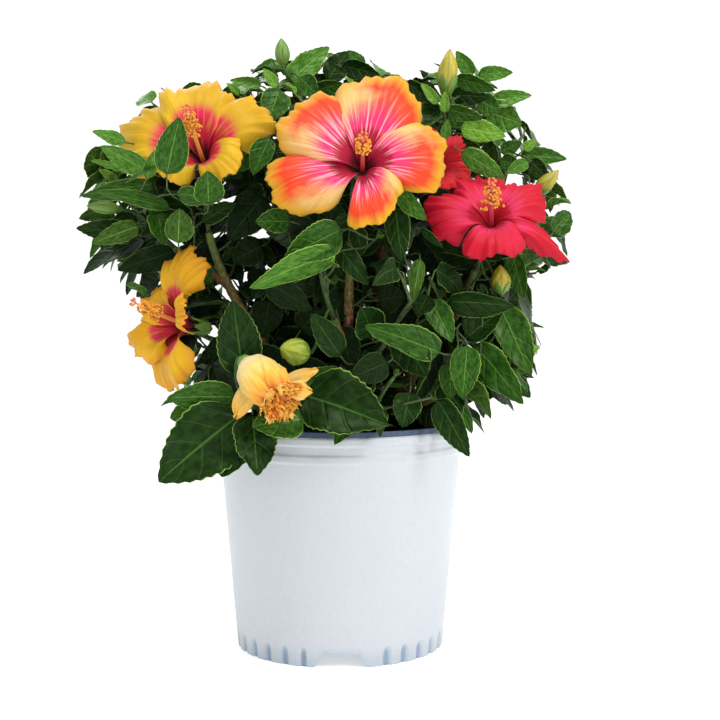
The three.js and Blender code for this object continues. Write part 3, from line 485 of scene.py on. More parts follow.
# Each mass of foliage: its name, its middle and half sizes, the stem that it stands on, and how far up that
# stem its bough leaves, or 1 where it grows from the stem's own tip.
MASSES = [
    ("skirt_left", (-100, -110, 255), (56, 56, 72), "left", 0.16),
    ("skirt_front", (42, -112, 250), (76, 62, 62), "centre", 0.14),
    ("low_right", (135, -70, 275), (66, 66, 92), "right", 0.24),
    ("front_right", (60, -100, 318), (60, 60, 76), "centre", 0.4),
    ("front", (-15, -105, 345), (76, 62, 72), "centre", 0.55),
    ("front_upper", (15, -102, 458), (84, 74, 82), "centre", 1),
    ("right", (158, -62, 408), (66, 64, 66), "right", 1),
    ("right_upper", (175, 5, 470), (56, 64, 70), "right", 0.8),
    ("top_right", (108, -12, 512), (70, 66, 72), "back_right", 0.78),
    ("top", (45, 45, 535), (66, 66, 54), "back_right", 1),
    ("top_left", (-42, 12, 540), (66, 64, 54), "back_left", 1),
    ("left_upper", (-135, -52, 485), (80, 70, 72), "left", 1),
    ("left", (-200, -8, 415), (58, 66, 84), "left", 0.8),
    ("left_low", (-168, -48, 318), (36, 50, 58), "left", 0.5),
    ("side_left", (-112, 25, 288), (58, 66, 62), "left", 0.32),
    ("side_right", (120, 30, 290), (66, 66, 70), "right", 0.4),
    ("back_top_left", (-85, 88, 490), (80, 76, 74), "back_left", 0.84),
    ("back_top_right", (98, 98, 480), (80, 76, 74), "back_right", 0.66),
    ("back_left", (-165, 92, 385), (72, 76, 84), "back_left", 0.46),
    ("back_right", (168, 88, 375), (70, 76, 84), "back_right", 0.5),
    ("back", (0, 155, 400), (82, 66, 90), "back_right", 0.36),
    ("back_low_left", (-90, 125, 275), (82, 72, 80), "back_left", 0.2),
    ("back_low_right", (90, 130, 272), (82, 72, 80), "back_right", 0.18),
]


def unit(vector):
    """The vector at a length of 1."""
    return vector / math.sqrt(vector @ vector)


def curve_points(start, start_direction, end, end_direction, count):
    """Even steps of a cubic curve that leaves the start and reaches the end in given directions."""
    pull = np.linalg.norm(end - start) / 3
    hold, reach = start + start_direction * pull, end - end_direction * pull
    t = np.linspace(0, 1, count + 1)[:, None]
    return (1 - t) ** 3 * start + 3 * (1 - t) ** 2 * t * hold + 3 * (1 - t) * t * t * reach + t ** 3 * end


def place_on(points, share):
    """A point on a line of points by its share of the steps, and the direction there."""
    place = share * (len(points) - 1)
    step = min(int(place), len(points) - 2)
    span = points[step + 1] - points[step]
    return points[step] + span * (place - step), unit(span)


def tube_rings(points, radii, sides, relief=None):
    """Round rings along a line of points. relief(share, turn) scales the radius."""
    points = np.asarray(points, float)
    tangents = np.gradient(points, axis=0)
    tangents /= np.linalg.norm(tangents, axis=1)[:, None]
    side = np.array([1.0, 0, 0]) if abs(tangents[:, 0].mean()) < 0.8 else np.array([0, 1.0, 0])
    angles = full_turn(sides)
    rings = np.zeros((len(points), sides, 3))
    for row, (point, tangent) in enumerate(zip(points, tangents)):
        side = unit(side - tangent * (side @ tangent))
        deep = np.cross(tangent, side)
        radius = np.full(sides, radii[row])
        if relief:
            radius = radius * relief(row / (len(points) - 1), angles)
        spokes = np.cos(angles)[:, None] * side + np.sin(angles)[:, None] * deep
        rings[row] = point + spokes * radius[:, None]
    return rings


def bark_relief(length, seed):
    """Leaf-scar rings about every 24 mm and shallow long furrows."""
    rings = max(length / 24, 2)

    def relief(share, turn):
        scar = 0.10 * np.exp(-(((share * rings) % 1 - 0.5) / 0.11) ** 2)
        furrow = 0.035 * np.sin(5 * turn + 9 * share + seed) + 0.03 * np.sin(9 * turn - 23 * share + 2 * seed)
        return 1 + scar + furrow * (1 - 0.5 * share)

    return relief


limbs, stems, boughs = [], {}, {}
for name, (foot, top, radius, tip) in STEMS.items():
    start, end = np.array([*foot, SOIL_LEVEL + GAP], float), np.array(top, float)
    points = curve_points(start, UP, end, unit(unit(end - start) + UP), STEM_RINGS)
    points = np.insert(points, 1, start + UP * FLARE_HEIGHT, axis=0)
    radii = np.linspace(radius, tip, len(points))
    radii[0] *= 1 + FLARE
    stems[name] = (points, radii)
    limbs.append((points, radii))
for name, middle, _, stem, place in MASSES:
    if place < 1:
        start, direction = place_on(stems[stem][0], place)
        span = np.array(middle, float) - start
        towards = unit(span)
        way, end_way = unit(towards + 0.6 * direction), unit(towards + 0.3 * UP)
        points = curve_points(start, way, start + span * BOUGH_REACH, end_way, BOUGH_RINGS)
        boughs[name] = (points, np.linspace(*BOUGH_RADII, BOUGH_RINGS + 1))
        limbs.append(boughs[name])

# Bark: matt and finely cracked, red-brown where it is old and olive green where it is young. The pattern
# runs with the limb, so its long way is the limb's own length.
bark, tree, shader = new_material("hibiscus_bark", Roughness=0.72)
uv_map, _, up_limb = own_map(tree)
stretch = add_node(tree, "Mapping", {"Vector": uv_map, "Scale": (7.0, 34.0, 1.0)})
grain = add_node(tree, "TexNoise", {"Vector": stretch, "Scale": 1.6, "Detail": 6.0})
old_stops = [(0.32, "#3b2116"), (0.5, "#6f4026"), (0.66, "#93683f"), (0.8, "#b08c62")]
old_bark = add_node(tree, "ValToRGB", {"Fac": grain}, old_stops)
young_bark = add_node(tree, "ValToRGB", {"Fac": grain}, [(0.3, "#3f5a22"), (0.7, "#6f8e3c")])
age = add_node(tree, "MapRange", {"Value": up_limb, "From Min": 0.6, "From Max": 1.05})
shade = add_node(tree, "Mix", {0: age, 6: old_bark, 7: young_bark}, data_type="RGBA")
cover(shader, shade, grain, 0.6, 0.0012)

stem_pile, bough_pile = Pile(), Pile()
for index, (foot, top, radius, tip) in enumerate(STEMS.values()):
    start, end = np.array([*foot, SOIL_LEVEL + GAP], float), np.array(top, float)
    points = curve_points(start, UP, end, unit(unit(end - start) + UP), STEM_STEPS)
    height = points[:, 2] - start[2]
    share = np.linspace(0, 1, STEM_STEPS + 1)
    radii = radius + (tip - radius) * share + radius * FLARE * np.clip(1 - height / FLARE_HEIGHT, 0, 1) ** 2
    points[0, 2] -= 3
    stem_pile.loft(tube_rings(points, radii, 16, bark_relief(height[-1], index)))
for index, (points, _) in enumerate(boughs.values()):
    start, end = points[0], points[-1]
    fine = curve_points(start, unit(points[1] - start), end, unit(end - points[-2]), BOUGH_STEPS)
    length = np.linalg.norm(end - start)
    collar = 1 + 0.3 * np.exp(-np.linspace(0, 1, BOUGH_STEPS + 1) * length / 7)
    fine_radii = np.linspace(*BOUGH_RADII, BOUGH_STEPS + 1) * collar
    bough_pile.loft(tube_rings(fine, fine_radii, 12, bark_relief(length, index)))
stem_pile.piece("woody_stems", [bark], "bark", *[f"stem_{name}" for name in STEMS])
bough_pile.piece("woody_boughs", [bark], "bark", *[f"bough_{name}" for name in boughs])


# The twigs: green-barked shoots, each mass of the crown with one that runs on from its limb, side shoots that
# turn by the golden angle and rise, and finer shoots on those. They keep to their mass's space.
GOLDEN_TURN = 2.39996
# The whole crown is a rounded box: its middle, its half sizes above and below that, and how square it is.
CROWN_MIDDLE = np.array([-13.0, 15.0, 395.0])
CROWN_ABOVE = (238.0, 205.0, 190.0)
CROWN_BELOW = (238.0, 205.0, 225.0)
CROWN_ROUNDNESS = 2.6
SPREAD = 1.3
SIGHT_DEPTH = 130.0
TWIG_TRIES = 12
MIDDLES = np.array([mass[1] for mass in MASSES], float)
HALVES = np.array([mass[2] for mass in MASSES], float)
# Each open bloom has the mass that carries it, the place of its eye, the way it faces and its column's
# length. Its petals are given by their turn round the eye in degrees, their length and their lift in degrees.
# Its habit says how crumpled they are and how the anthers stand, and a number in it is a petal that differs.
BLOOMS = {
    "coral": dict(
        mass="front_upper", eye=(20, -122, 459), facing=(0, -0.93, 0.36), column=37,
        petals=[(12, 76, 4), (76, 92, 4), (138, 86, 6), (203, 84, 4), (297, 56, 14)],
        habit={
            "crumple": 1.1, "anthers": 0.7, "threads": (6, 5.5), 3: {"skew": -0.2, "half": math.radians(38)},
            4: {"half": math.radians(46), "skew": -0.3, "taper": 0.05},
        },
    ),
    "yellow_high": dict(
        mass="left_upper", eye=(-127, -72, 470), facing=(-0.2, -0.8, 0.58), column=52,
        petals=[(154, 94, 6), (104, 88, 15), (52, 78, 10), (-30, 52, 24), (226, 46, 22)],
        habit={"crumple": 1.9, "recurve": 0.16, "anthers": 0.62, 3: {"half": math.radians(54)}},
    ),
    "yellow_low": dict(
        mass="left_low", eye=(-146, -66, 316), facing=(-0.8, -0.56, 0.16), column=50,
        petals=[(88, 72, 14), (20, 50, 34), (150, 54, 34), (212, 60, 34), (270, 66, 14)],
        habit={
            "crumple": 2.3, "recurve": 0.16, "anthers": 0.6, 0: {"half": math.radians(34)},
            3: {"half": math.radians(56)}, 4: {"half": math.radians(58)},
        },
    ),
    "pink": dict(
        mass="right", eye=(139, -80, 413), facing=(-0.08, -0.8, 0.6), column=40,
        petals=[(172, 62, 6), (106, 62, 0), (36, 56, 6), (-22, 78, -6), (274, 54, 14)],
        habit={
            "crumple": 2.5, "recurve": 0.12, "anthers": 0.55, "threads": (10, 5),
            3: {"half": math.radians(25), "taper": 0.75}, 4: {"half": math.radians(62)},
        },
    ),
    "red": dict(
        mass="top_right", eye=(86, -34, 459), facing=(0.45, -0.8, 0.3), column=12,
        petals=[(-24, 42, 40), (40, 44, 38), (98, 44, 30), (172, 30, 50), (284, 38, 46)],
        habit={"crumple": 1.8, "half": math.radians(42)},
    ),
}
# Each bud has the mass that carries it, its foot, its tip, its radius and its kind.
BUDS = [
    ("top_left", (-54, -10, 561), (-56, -10, 587), 6.5, "green"),
    ("top_right", (100, -30, 532), (104, -32, 574), 9.5, "yellow"),
    ("right_upper", (187, -22, 438), (208, -28, 461), 7.5, "yellow"),
    ("right", (151, -60, 344), (149, -64, 371), 9.0, "yellow"),
    ("front", (-30, -98, 290), (-53, -121, 297), 12.0, "lime"),
    ("left", (-209, -25, 424), (-240, -30, 427), 5.5, "green"),
]
# Places where the sky shows between and around the leaves: across and up on the plane through the pot's axis,
# and a radius. Nothing grows on the line of sight through them.
WINDOWS = [
    (-160, 397, 9), (-107, 344, 8), (-127, 303, 9), (167, 453, 8), (132, 293, 6), (-168, 590, 46),
    (-130, 592, 42), (-248, 537, 44), (-245, 319, 43), (-218, 278, 39), (-235, 215, 49), (250, 337, 45),
    (238, 278, 43), (218, 199, 39), (179, 186, 35), (213, 548, 47), (174, 572, 25), (58, 592, 33),
    (34, 158, 34), (88, 164, 29), (-22, 158, 31), (-157, 116, 39), (-38, 610, 25), (-88, 588, 25),
    (60, 584, 29), (-49, 170, 20), (-122, 141, 16), (213, 521, 33), (253, 453, 33), (253, 395, 29),
    (217, 337, 29), (-270, 482, 23), (-280, 434, 21), (-272, 376, 23),
]
# The leaves that face the viewer, each with its foot, its tip, its width, how far it is rolled over in
# degrees, and its painted light and shade: 0 is painted deep shade, 3 painted light, 4 a young pale leaf in
# light.
KEY_LEAVES = [
    ((-153, -124, 451), (-140, -136, 500), 29, 8, 2), ((-198, -60, 484), (-228, -66, 494), 13, 20, 3),
    ((-176, -70, 456), (-218, -84, 479), 21, -15, 3), ((-194, -50, 457), (-232, -56, 468), 8, 35, 3),
    ((-175, -92, 449), (-164, -104, 475), 12, 10, 3), ((-162, -96, 462), (-193, -104, 444), 7, 50, 2),
    ((-175, -40, 447), (-242, -50, 435), 23, -25, 2), ((-157, -66, 423), (-222, -78, 438), 16, 30, 2),
    ((-195, -20, 399), (-251, -26, 406), 23, 10, 1), ((-189, -36, 408), (-233, -42, 391), 19, 165, 1),
    ((-158, -24, 383), (-211, -34, 366), 25, -15, 0), ((-169, -60, 420), (-164, -66, 390), 28, -25, 2),
    ((-149, -72, 391), (-147, -76, 423), 26, 170, 2), ((-118, -104, 426), (-118, -112, 455), 27, 15, 2),
    ((-128, -60, 411), (-96, -66, 428), 17, -20, 1), ((-148, -92, 435), (-106, -98, 430), 18, 30, 2),
    ((-122, -30, 353), (-135, -34, 376), 19, 10, 2), ((-88, -102, 271), (-96, -112, 340), 38, 5, 1),
    ((-95, -112, 252), (-154, -130, 253), 29, -10, 2), ((-90, -122, 237), (-160, -146, 180), 60, 10, 1),
    ((-90, -118, 228), (-105, -138, 183), 41, 5, 1), ((-78, -128, 238), (-73, -144, 185), 40, -10, 1),
    ((-33, -132, 234), (-77, -152, 230), 36, 20, 2), ((-32, -114, 254), (42, -148, 230), 60, -15, 1),
    ((-34, -100, 259), (-2, -108, 279), 22, 25, 2), ((-100, -50, 291), (-127, -54, 290), 28, 0, 0),
    ((1, -124, 402), (-49, -140, 376), 34, -15, 2), ((-4, -126, 382), (-79, -148, 351), 33, -30, 3),
    ((-45, -96, 410), (-76, -104, 410), 22, 15, 2), ((-66, -84, 355), (-26, -92, 330), 26, 10, 0),
    ((-2, -96, 388), (25, -106, 353), 20, -20, 1), ((-72, -40, 436), (-105, -46, 394), 36, 0, 0),
    ((9, -112, 415), (-8, -116, 397), 14, 0, 1), ((15, -84, 406), (20, -88, 379), 16, 0, 1),
    ((-74, -30, 389), (-102, -34, 374), 29, 10, 0), ((-51, -50, 357), (-37, -54, 378), 24, 0, 2),
    ((-37, -60, 310), (-17, -66, 331), 26, 0, 0), ((-66, -50, 338), (-73, -56, 303), 28, 0, 0),
    ((91, -94, 291), (22, -118, 317), 36, -25, 2), ((55, -84, 308), (79, -96, 269), 37, 20, 1),
    ((0, -60, 314), (11, -66, 271), 28, 10, 0), ((41, -60, 293), (11, -68, 261), 22, -10, 0),
    ((64, -88, 254), (57, -94, 222), 26, 0, 1), ((80, -92, 343), (70, -98, 325), 24, 10, 1),
    ((83, -76, 339), (103, -86, 300), 24, -15, 2), ((53, -92, 437), (78, -104, 411), 18, 25, 3),
    ((73, -92, 404), (93, -98, 387), 8, 40, 1), ((50, -90, 426), (56, -98, 374), 22, 10, 1),
    ((150, -66, 377), (96, -76, 383), 15, 50, 1), ((73, -90, 377), (66, -96, 336), 14, 165, 2),
    ((100, -70, 337), (160, -86, 333), 28, 35, 1), ((36, -60, 338), (60, -66, 342), 26, 0, 0),
    ((6, -50, 348), (-13, -56, 310), 28, 0, 0), ((162, -46, 383), (173, -52, 338), 19, 15, 2),
    ((151, -48, 332), (179, -54, 268), 34, -10, 2), ((125, -64, 297), (170, -78, 242), 33, 20, 2),
    ((117, -84, 297), (112, -94, 248), 27, 5, 2), ((89, -98, 248), (116, -124, 199), 27, 20, 1),
    ((102, -74, 281), (102, -80, 246), 20, 0, 2), ((117, -70, 303), (151, -76, 330), 26, -15, 1),
    ((179, -40, 447), (174, -44, 389), 23, 20, 1), ((-50, 2, 546), (-10, 10, 582), 25, -20, 3),
    ((-12, 20, 551), (8, 26, 580), 24, 0, 1), ((22, 30, 564), (7, 34, 582), 16, 10, 2),
    ((2, 20, 565), (38, 24, 557), 20, 15, 1), ((-27, -10, 536), (3, -14, 544), 19, 30, 2),
    ((-76, 10, 544), (-107, 12, 550), 12, 20, 3), ((-57, -40, 535), (-67, -52, 502), 27, -10, 2),
    ((-59, -20, 539), (-73, -22, 557), 10, 20, 4), ((-78, -60, 485), (-100, -64, 457), 26, 0, 2),
    ((-64, -84, 486), (-79, -90, 452), 22, 15, 2), ((-59, -70, 476), (-46, -74, 445), 24, 0, 1),
    ((-38, -16, 549), (-21, -20, 531), 21, 0, 2), ((127, -10, 552), (111, -14, 575), 15, 0, 3),
    ((133, -6, 553), (166, -12, 555), 15, -10, 3), ((110, -20, 549), (148, -26, 536), 17, 20, 2),
    ((107, -14, 533), (143, -20, 530), 19, 15, 1), ((145, -6, 527), (184, -14, 533), 17, -15, 3),
    ((141, -2, 518), (175, -10, 506), 31, 0, 3), ((100, -44, 516), (134, -52, 507), 15, 20, 2),
    ((114, -34, 500), (156, -44, 491), 21, -15, 4), ((113, -58, 476), (152, -70, 450), 20, 15, 3),
    ((62, -20, 545), (93, -26, 522), 14, 10, 1), ((93, -30, 523), (76, -34, 542), 10, 10, 4),
    ((98, -44, 513), (98, -48, 533), 9, 0, 4), ((98, -50, 488), (100, -54, 506), 9, 0, 3),
    ((175, 4, 477), (222, 10, 474), 18, -10, 2), ((180, -20, 469), (158, -24, 458), 13, 10, 3),
    ((156, 4, 480), (177, 6, 490), 14, 0, 2), ((178, 0, 482), (190, 2, 492), 10, 0, 4),
    ((182, -16, 471), (199, -20, 452), 17, 0, 1), ((133, -10, 529), (153, -14, 517), 21, 0, 2),
    ((154, -16, 471), (172, -20, 465), 17, 0, 2), ((126, -44, 372), (77, -50, 396), 26, 10, 0),
    ((134, 0, 372), (84, -6, 402), 40, 0, 0), ((78, 8, 368), (98, 0, 412), 34, 0, 0),
    ((0, -103, 289), (-26, -108, 327), 25, 15, 1), ((43, -112, 283), (8, -122, 269), 27, 8, 0),
]
# Two of them have their lower margin rolled over, so that the pale underside shows.
ROLLED_LEAVES = {27: 2.7, 38: 2.6}


def chances(count, *keys):
    """That many repeatable numbers from 0 to 1."""
    return np.array([chance(*keys, k) for k in range(1, count + 1)])


def mix(low, high, share):
    """The value a share of the way from low to high."""
    return low + (high - low) * share


def outwards(point):
    """The direction away from the crown's middle."""
    return unit((point - CROWN_MIDDLE) * (1, 1, 0.5))


def around_axis(first, second, turn):
    """The direction at an angle round the axis that two crossing directions stand on."""
    return first * math.cos(turn) + second * math.sin(turn)


def turn_around(direction, turn):
    """A direction square to this one, at an angle round it."""
    flat = np.array([1.0, 0, 0]) if abs(direction[2]) > 0.9 else UP
    first = unit(np.cross(direction, flat))
    return around_axis(first, np.cross(direction, first), turn)


def in_space(index, points, stretch=1.0, overlap=-0.4):
    """True where all points are nearer to this mass than to others, within its reach and in the crown."""
    away = MIDDLES - MIDDLES[index]
    apart = np.linalg.norm(away, axis=1)
    apart[index] = 1
    beyond = np.einsum("pmk,mk->pm", points[:, None] - (MIDDLES + MIDDLES[index]) / 2, away / apart[:, None])
    beyond[:, index] = -99
    offset = points - CROWN_MIDDLE
    shares = np.abs(offset) / np.where(offset[:, 2:] > 0, CROWN_ABOVE, CROWN_BELOW)
    reach = np.linalg.norm((points - MIDDLES[index]) / HALVES[index], axis=1)
    crown = (shares ** CROWN_ROUNDNESS).sum(axis=1)
    return beyond.max() <= overlap and reach.max() <= stretch * SPREAD and crown.max() <= 1


def clear_of_pot(points):
    """True where all points are over the soil, over the lip or beside the pot."""
    radius = np.hypot(points[:, 0], points[:, 1])
    inside_pot = (radius < WALL_TOP_RADIUS - 12) & (points[:, 2] > SOIL_LEVEL + 6)
    return (inside_pot | (points[:, 2] > POT_HEIGHT + 4) | (radius > LIP_RADIUS + 4)).all()


def offset_from_line(points, start, end):
    """From the nearest places of a straight line to the points."""
    span = end - start
    share = np.clip((points - start) @ span / (span @ span), 0, 1)
    return points - start - share[:, None] * span


def clear_of_limbs(points, clearance):
    """True where all points keep this far from the bark of every stem and bough."""
    for line, radii in limbs:
        for start, end, radius in zip(line, line[1:], radii):
            if np.linalg.norm(offset_from_line(points, start, end), axis=1).min() < radius + clearance:
                return False
    return True


def seen_places(points):
    """Where the line of sight through each point meets the plane through the pot's axis."""
    eye = np.array(CAMERA_PLACE) * 1000
    seen = eye + (points - eye) * (-eye[1] / (points[:, 1] - eye[1]))[:, None]
    return seen[:, [0, 2]]


def keep_open(place, radius, behind):
    """Nothing grows in front of this place, from so far behind it on."""
    kept_open.append((*seen_places(place[None])[0], radius, place[1] + behind))


kept_open = [(x, z, radius, 1000.0) for x, z, radius in WINDOWS]
for _, foot, tip, radius, _ in BUDS:
    keep_open((np.array(foot, float) + tip) / 2, radius + 5, 4)
for foot, tip, width, _, _ in KEY_LEAVES:
    for share in (0.22, 0.5, 0.76):
        keep_open(np.array(foot, float) * (1 - share) + np.array(tip, float) * share, 0.36 * width, -3)
for name, low, high in [("centre", 0.5, 0.98), ("left", 0.68, 0.97)]:
    for share in np.arange(low, high, 0.06):
        keep_open(place_on(stems[name][0], share)[0], 7.0, -5)
open_places = np.array(kept_open).T[:, :, None]
bloom_eyes = np.array([bloom["eye"] for bloom in BLOOMS.values()], float)
bloom_ways = np.array([unit(np.array(bloom["facing"], float)) for bloom in BLOOMS.values()])
bloom_ways = np.array([unit(way + (0, -1, 0)) for way in bloom_ways])
bloom_radii = np.array([max(petal[1] for petal in bloom["petals"]) * 0.93 for bloom in BLOOMS.values()])
bud_feet = np.array([bud[1] for bud in BUDS], float)
bud_spans = np.array([bud[2] for bud in BUDS], float) - bud_feet
bud_radii = np.array([bud[3] for bud in BUDS])


def clear_of_blooms(points):
    """True where no point is in front of an open bloom, in a bud or on the line of sight to an open place."""
    offset = points[None] - bloom_eyes[:, None]
    ahead = np.einsum("bpk,bk->bp", offset, bloom_ways)
    away = (offset ** 2).sum(axis=2)
    aside = np.sqrt(np.maximum(away - ahead ** 2, 0))
    if ((ahead > -6) & (aside < bloom_radii[:, None]) & (away < SIGHT_DEPTH ** 2)).any():
        return False
    offset = points[None] - bud_feet[:, None]
    share = np.einsum("bpk,bk->bp", offset, bud_spans) / (bud_spans ** 2).sum(axis=1)[:, None]
    offset = offset - np.clip(share, 0, 1)[..., None] * bud_spans[:, None]
    if (np.linalg.norm(offset, axis=2) < bud_radii[:, None] + 3).any():
        return False
    x, z, radius, depth = open_places
    seen = seen_places(points)
    hidden = np.hypot(seen[:, 0] - x, seen[:, 1] - z) < radius
    return not (hidden & (points[:, 1] < depth)).any()


def along_twig(points, shares):
    """Points of a line by their shares of its steps."""
    return np.array([place_on(points, share)[0] for share in shares])


def twig_fits(index, points):
    """True where a twig keeps to its mass's space and clear of everything."""
    samples = along_twig(points, np.arange(0.12, 1.001, 0.11))
    return (
        in_space(index, samples, 0.96) and clear_of_pot(samples) and clear_of_limbs(samples, 3.5)
        and clear_of_blooms(samples)
    )


# Each twig is listed with its mass, its points, its radius at both ends, the twig that it leaves and where.
twigs = []
first_twigs = {}
for index, (name, middle, half, stem, _) in enumerate(MASSES):
    limb = boughs[name][0] if name in boughs else stems[stem][0]
    direction = unit(limb[-1] - limb[-2])
    start, middle = limb[-1] + direction * GAP, np.array(middle, float)
    end = middle + (middle - start) * 0.36 + UP * half[2] * 0.22
    first = curve_points(start, direction, end, unit(outwards(middle) + 0.8 * UP), 3)
    first_twigs[name] = first
    base = len(twigs)
    grown = [(first, 2.6, 1.7, -1, 0.0)]
    for number in range(3):
        for attempt in range(TWIG_TRIES):
            share = mix(0.16, 0.86, number / 2)
            point, direction = place_on(first, share)
            turn = GOLDEN_TURN * number + attempt * 1.3 + chance(index, number, 77, attempt, 1)
            lean = unit(turn_around(direction, turn) + 0.35 * direction + 0.35 * outwards(point) + 0.25 * UP)
            length = min(half) * mix(1.15, 0.5, attempt / (TWIG_TRIES - 1))
            points = np.array([point, point + lean * length + UP * length * 0.16])
            if twig_fits(index, points):
                grown.append((points, 1.7, 1.2, base, share))
                break
    for parent_number, (parent, *_) in enumerate(list(grown)):
        for number in range(4 if parent_number == 0 else 3):
            for attempt in range(TWIG_TRIES):
                keys = (index, parent_number, number, 55, attempt)
                share = mix(0.25, 0.9, (number + chance(*keys, 2)) / 4)
                point, direction = place_on(parent, share)
                turn = GOLDEN_TURN * (number + parent_number) + attempt * 1.1 + chance(*keys, 1) * 2
                lean = unit(turn_around(direction, turn) + 0.5 * direction + 0.4 * outwards(point) + 0.4 * UP)
                length = min(half) * mix(0.85, 0.35, attempt / (TWIG_TRIES - 1))
                end = point + lean * length + UP * length * 0.12
                points = curve_points(point, lean, end, unit(lean + 0.5 * UP), 3)
                if twig_fits(index, points):
                    grown.append((points, 1.2, 0.9, base + parent_number, share))
                    break
    twigs += [(index, *twig) for twig in grown]


# The open blooms: five broad silky petals that overlap round a dark eye, each with fine veins, pleats and a
# ruffled rim, and a column that carries the anthers and ends in five stigmas.
PETAL_COLUMNS = 43
PETAL_ROWS = 27
HALF_TURN = math.radians(46)
PETAL_THICKNESS = 0.45
ANTHERS = 84
BLOOM_STALK = 0.3


def bloom_frame(bloom):
    """The way a bloom faces, and the two directions of its face."""
    facing = unit(np.array(bloom["facing"], float))
    right = unit(np.cross(UP, facing))
    return facing, right, np.cross(facing, right)


def two_sided(grid, thickness, down):
    """Rings of a thin sheet: each row of the grid, and the same row moved down by the thickness, mirrored."""
    under = grid + down * thickness
    return np.concatenate([grid, under[:, ::-1]], axis=1)


def grid_normals(grid):
    """The direction square to a grid of points, at each of them."""
    across = np.gradient(grid, axis=1)
    along = np.gradient(grid, axis=0)
    normals = np.cross(along, across)
    return normals / np.maximum(np.linalg.norm(normals, axis=2), 1e-9)[..., None]


def petal_grid(bloom, index, number):
    """The middle of a petal: rows (v) run from the eye to the rim, columns (a) from its clockwise edge on.

    Its rim is scalloped and bends back, and its face has pleats, ruffles, a cup and a funnel at the eye.
    """
    facing, right, rise = bloom_frame(bloom)
    turn, length, lift = bloom["petals"][number]
    style = {**bloom["habit"], **bloom["habit"].get(number, {})}
    half = style.get("half", HALF_TURN)
    lift = math.radians(lift)
    a = np.linspace(-1, 1, PETAL_COLUMNS)[None, :]
    v = np.linspace(0, 1, PETAL_ROWS)[:, None] ** 0.85
    seed = 7.0 * index + 2.3 * number
    taper = style.get("taper", 0.3)
    bluntness = 2.4 if taper < 0.5 else 1.1
    reach = length * (1 - taper * np.abs(a) ** bluntness) * (1 + style.get("skew", 0) * a)
    reach = reach * (1 - 0.18 * np.abs(a) ** 10)
    scallop = 0.028 * np.sin(7 * a + seed) + 0.016 * np.sin(15 * a + 2 * seed) + 0.010 * np.sin(41 * a + seed)
    crumple = style["crumple"]
    reach = reach * (1 + scallop * min(crumple, 1.4) * v ** 3)
    out = v * reach
    angle = math.radians(turn) + a * half * (1 - 0.10 * v)
    ruffle = (
        np.sin(6.5 * a + seed + 2 * v) + 0.7 * np.sin(11.5 * a + 1.7 * seed) + 0.35 * np.sin(21 * a + seed)
    ) * 0.032 * crumple * length * v ** 3.0 * (0.35 + 0.65 * np.abs(a))
    ruffle = ruffle + 0.014 * crumple * length * np.sin(33 * a + 3 * seed + 4 * v) * v ** 5
    ruffle = ruffle + 0.03 * crumple * length * np.sin(3.1 * a + 1.3 * seed) * v ** 2
    pleat = 0.35 * np.sin(24 * a + seed) * v ** 1.2 * (1 - 0.6 * v)
    funnel = -15 * np.exp(-(out / 11) ** 1.5)
    cup = length * 0.10 * np.sin(math.pi * np.minimum(v * 1.15, 1.15) * 0.87)
    recurve = -length * style.get("recurve", 0.10) * np.clip(v - 0.62, 0, 1) ** 2 / 0.144
    arch = -length * 0.05 * (a ** 2) * v ** 1.5
    overlap = 2.6 * a * v ** 0.6
    ahead = out * math.sin(lift) + funnel + cup + recurve + arch + overlap + ruffle + pleat
    flat = out * math.cos(lift)
    radial = np.cos(angle)[..., None] * right + np.sin(angle)[..., None] * rise
    return np.array(bloom["eye"], float) + radial * flat[..., None] + facing * ahead[..., None]


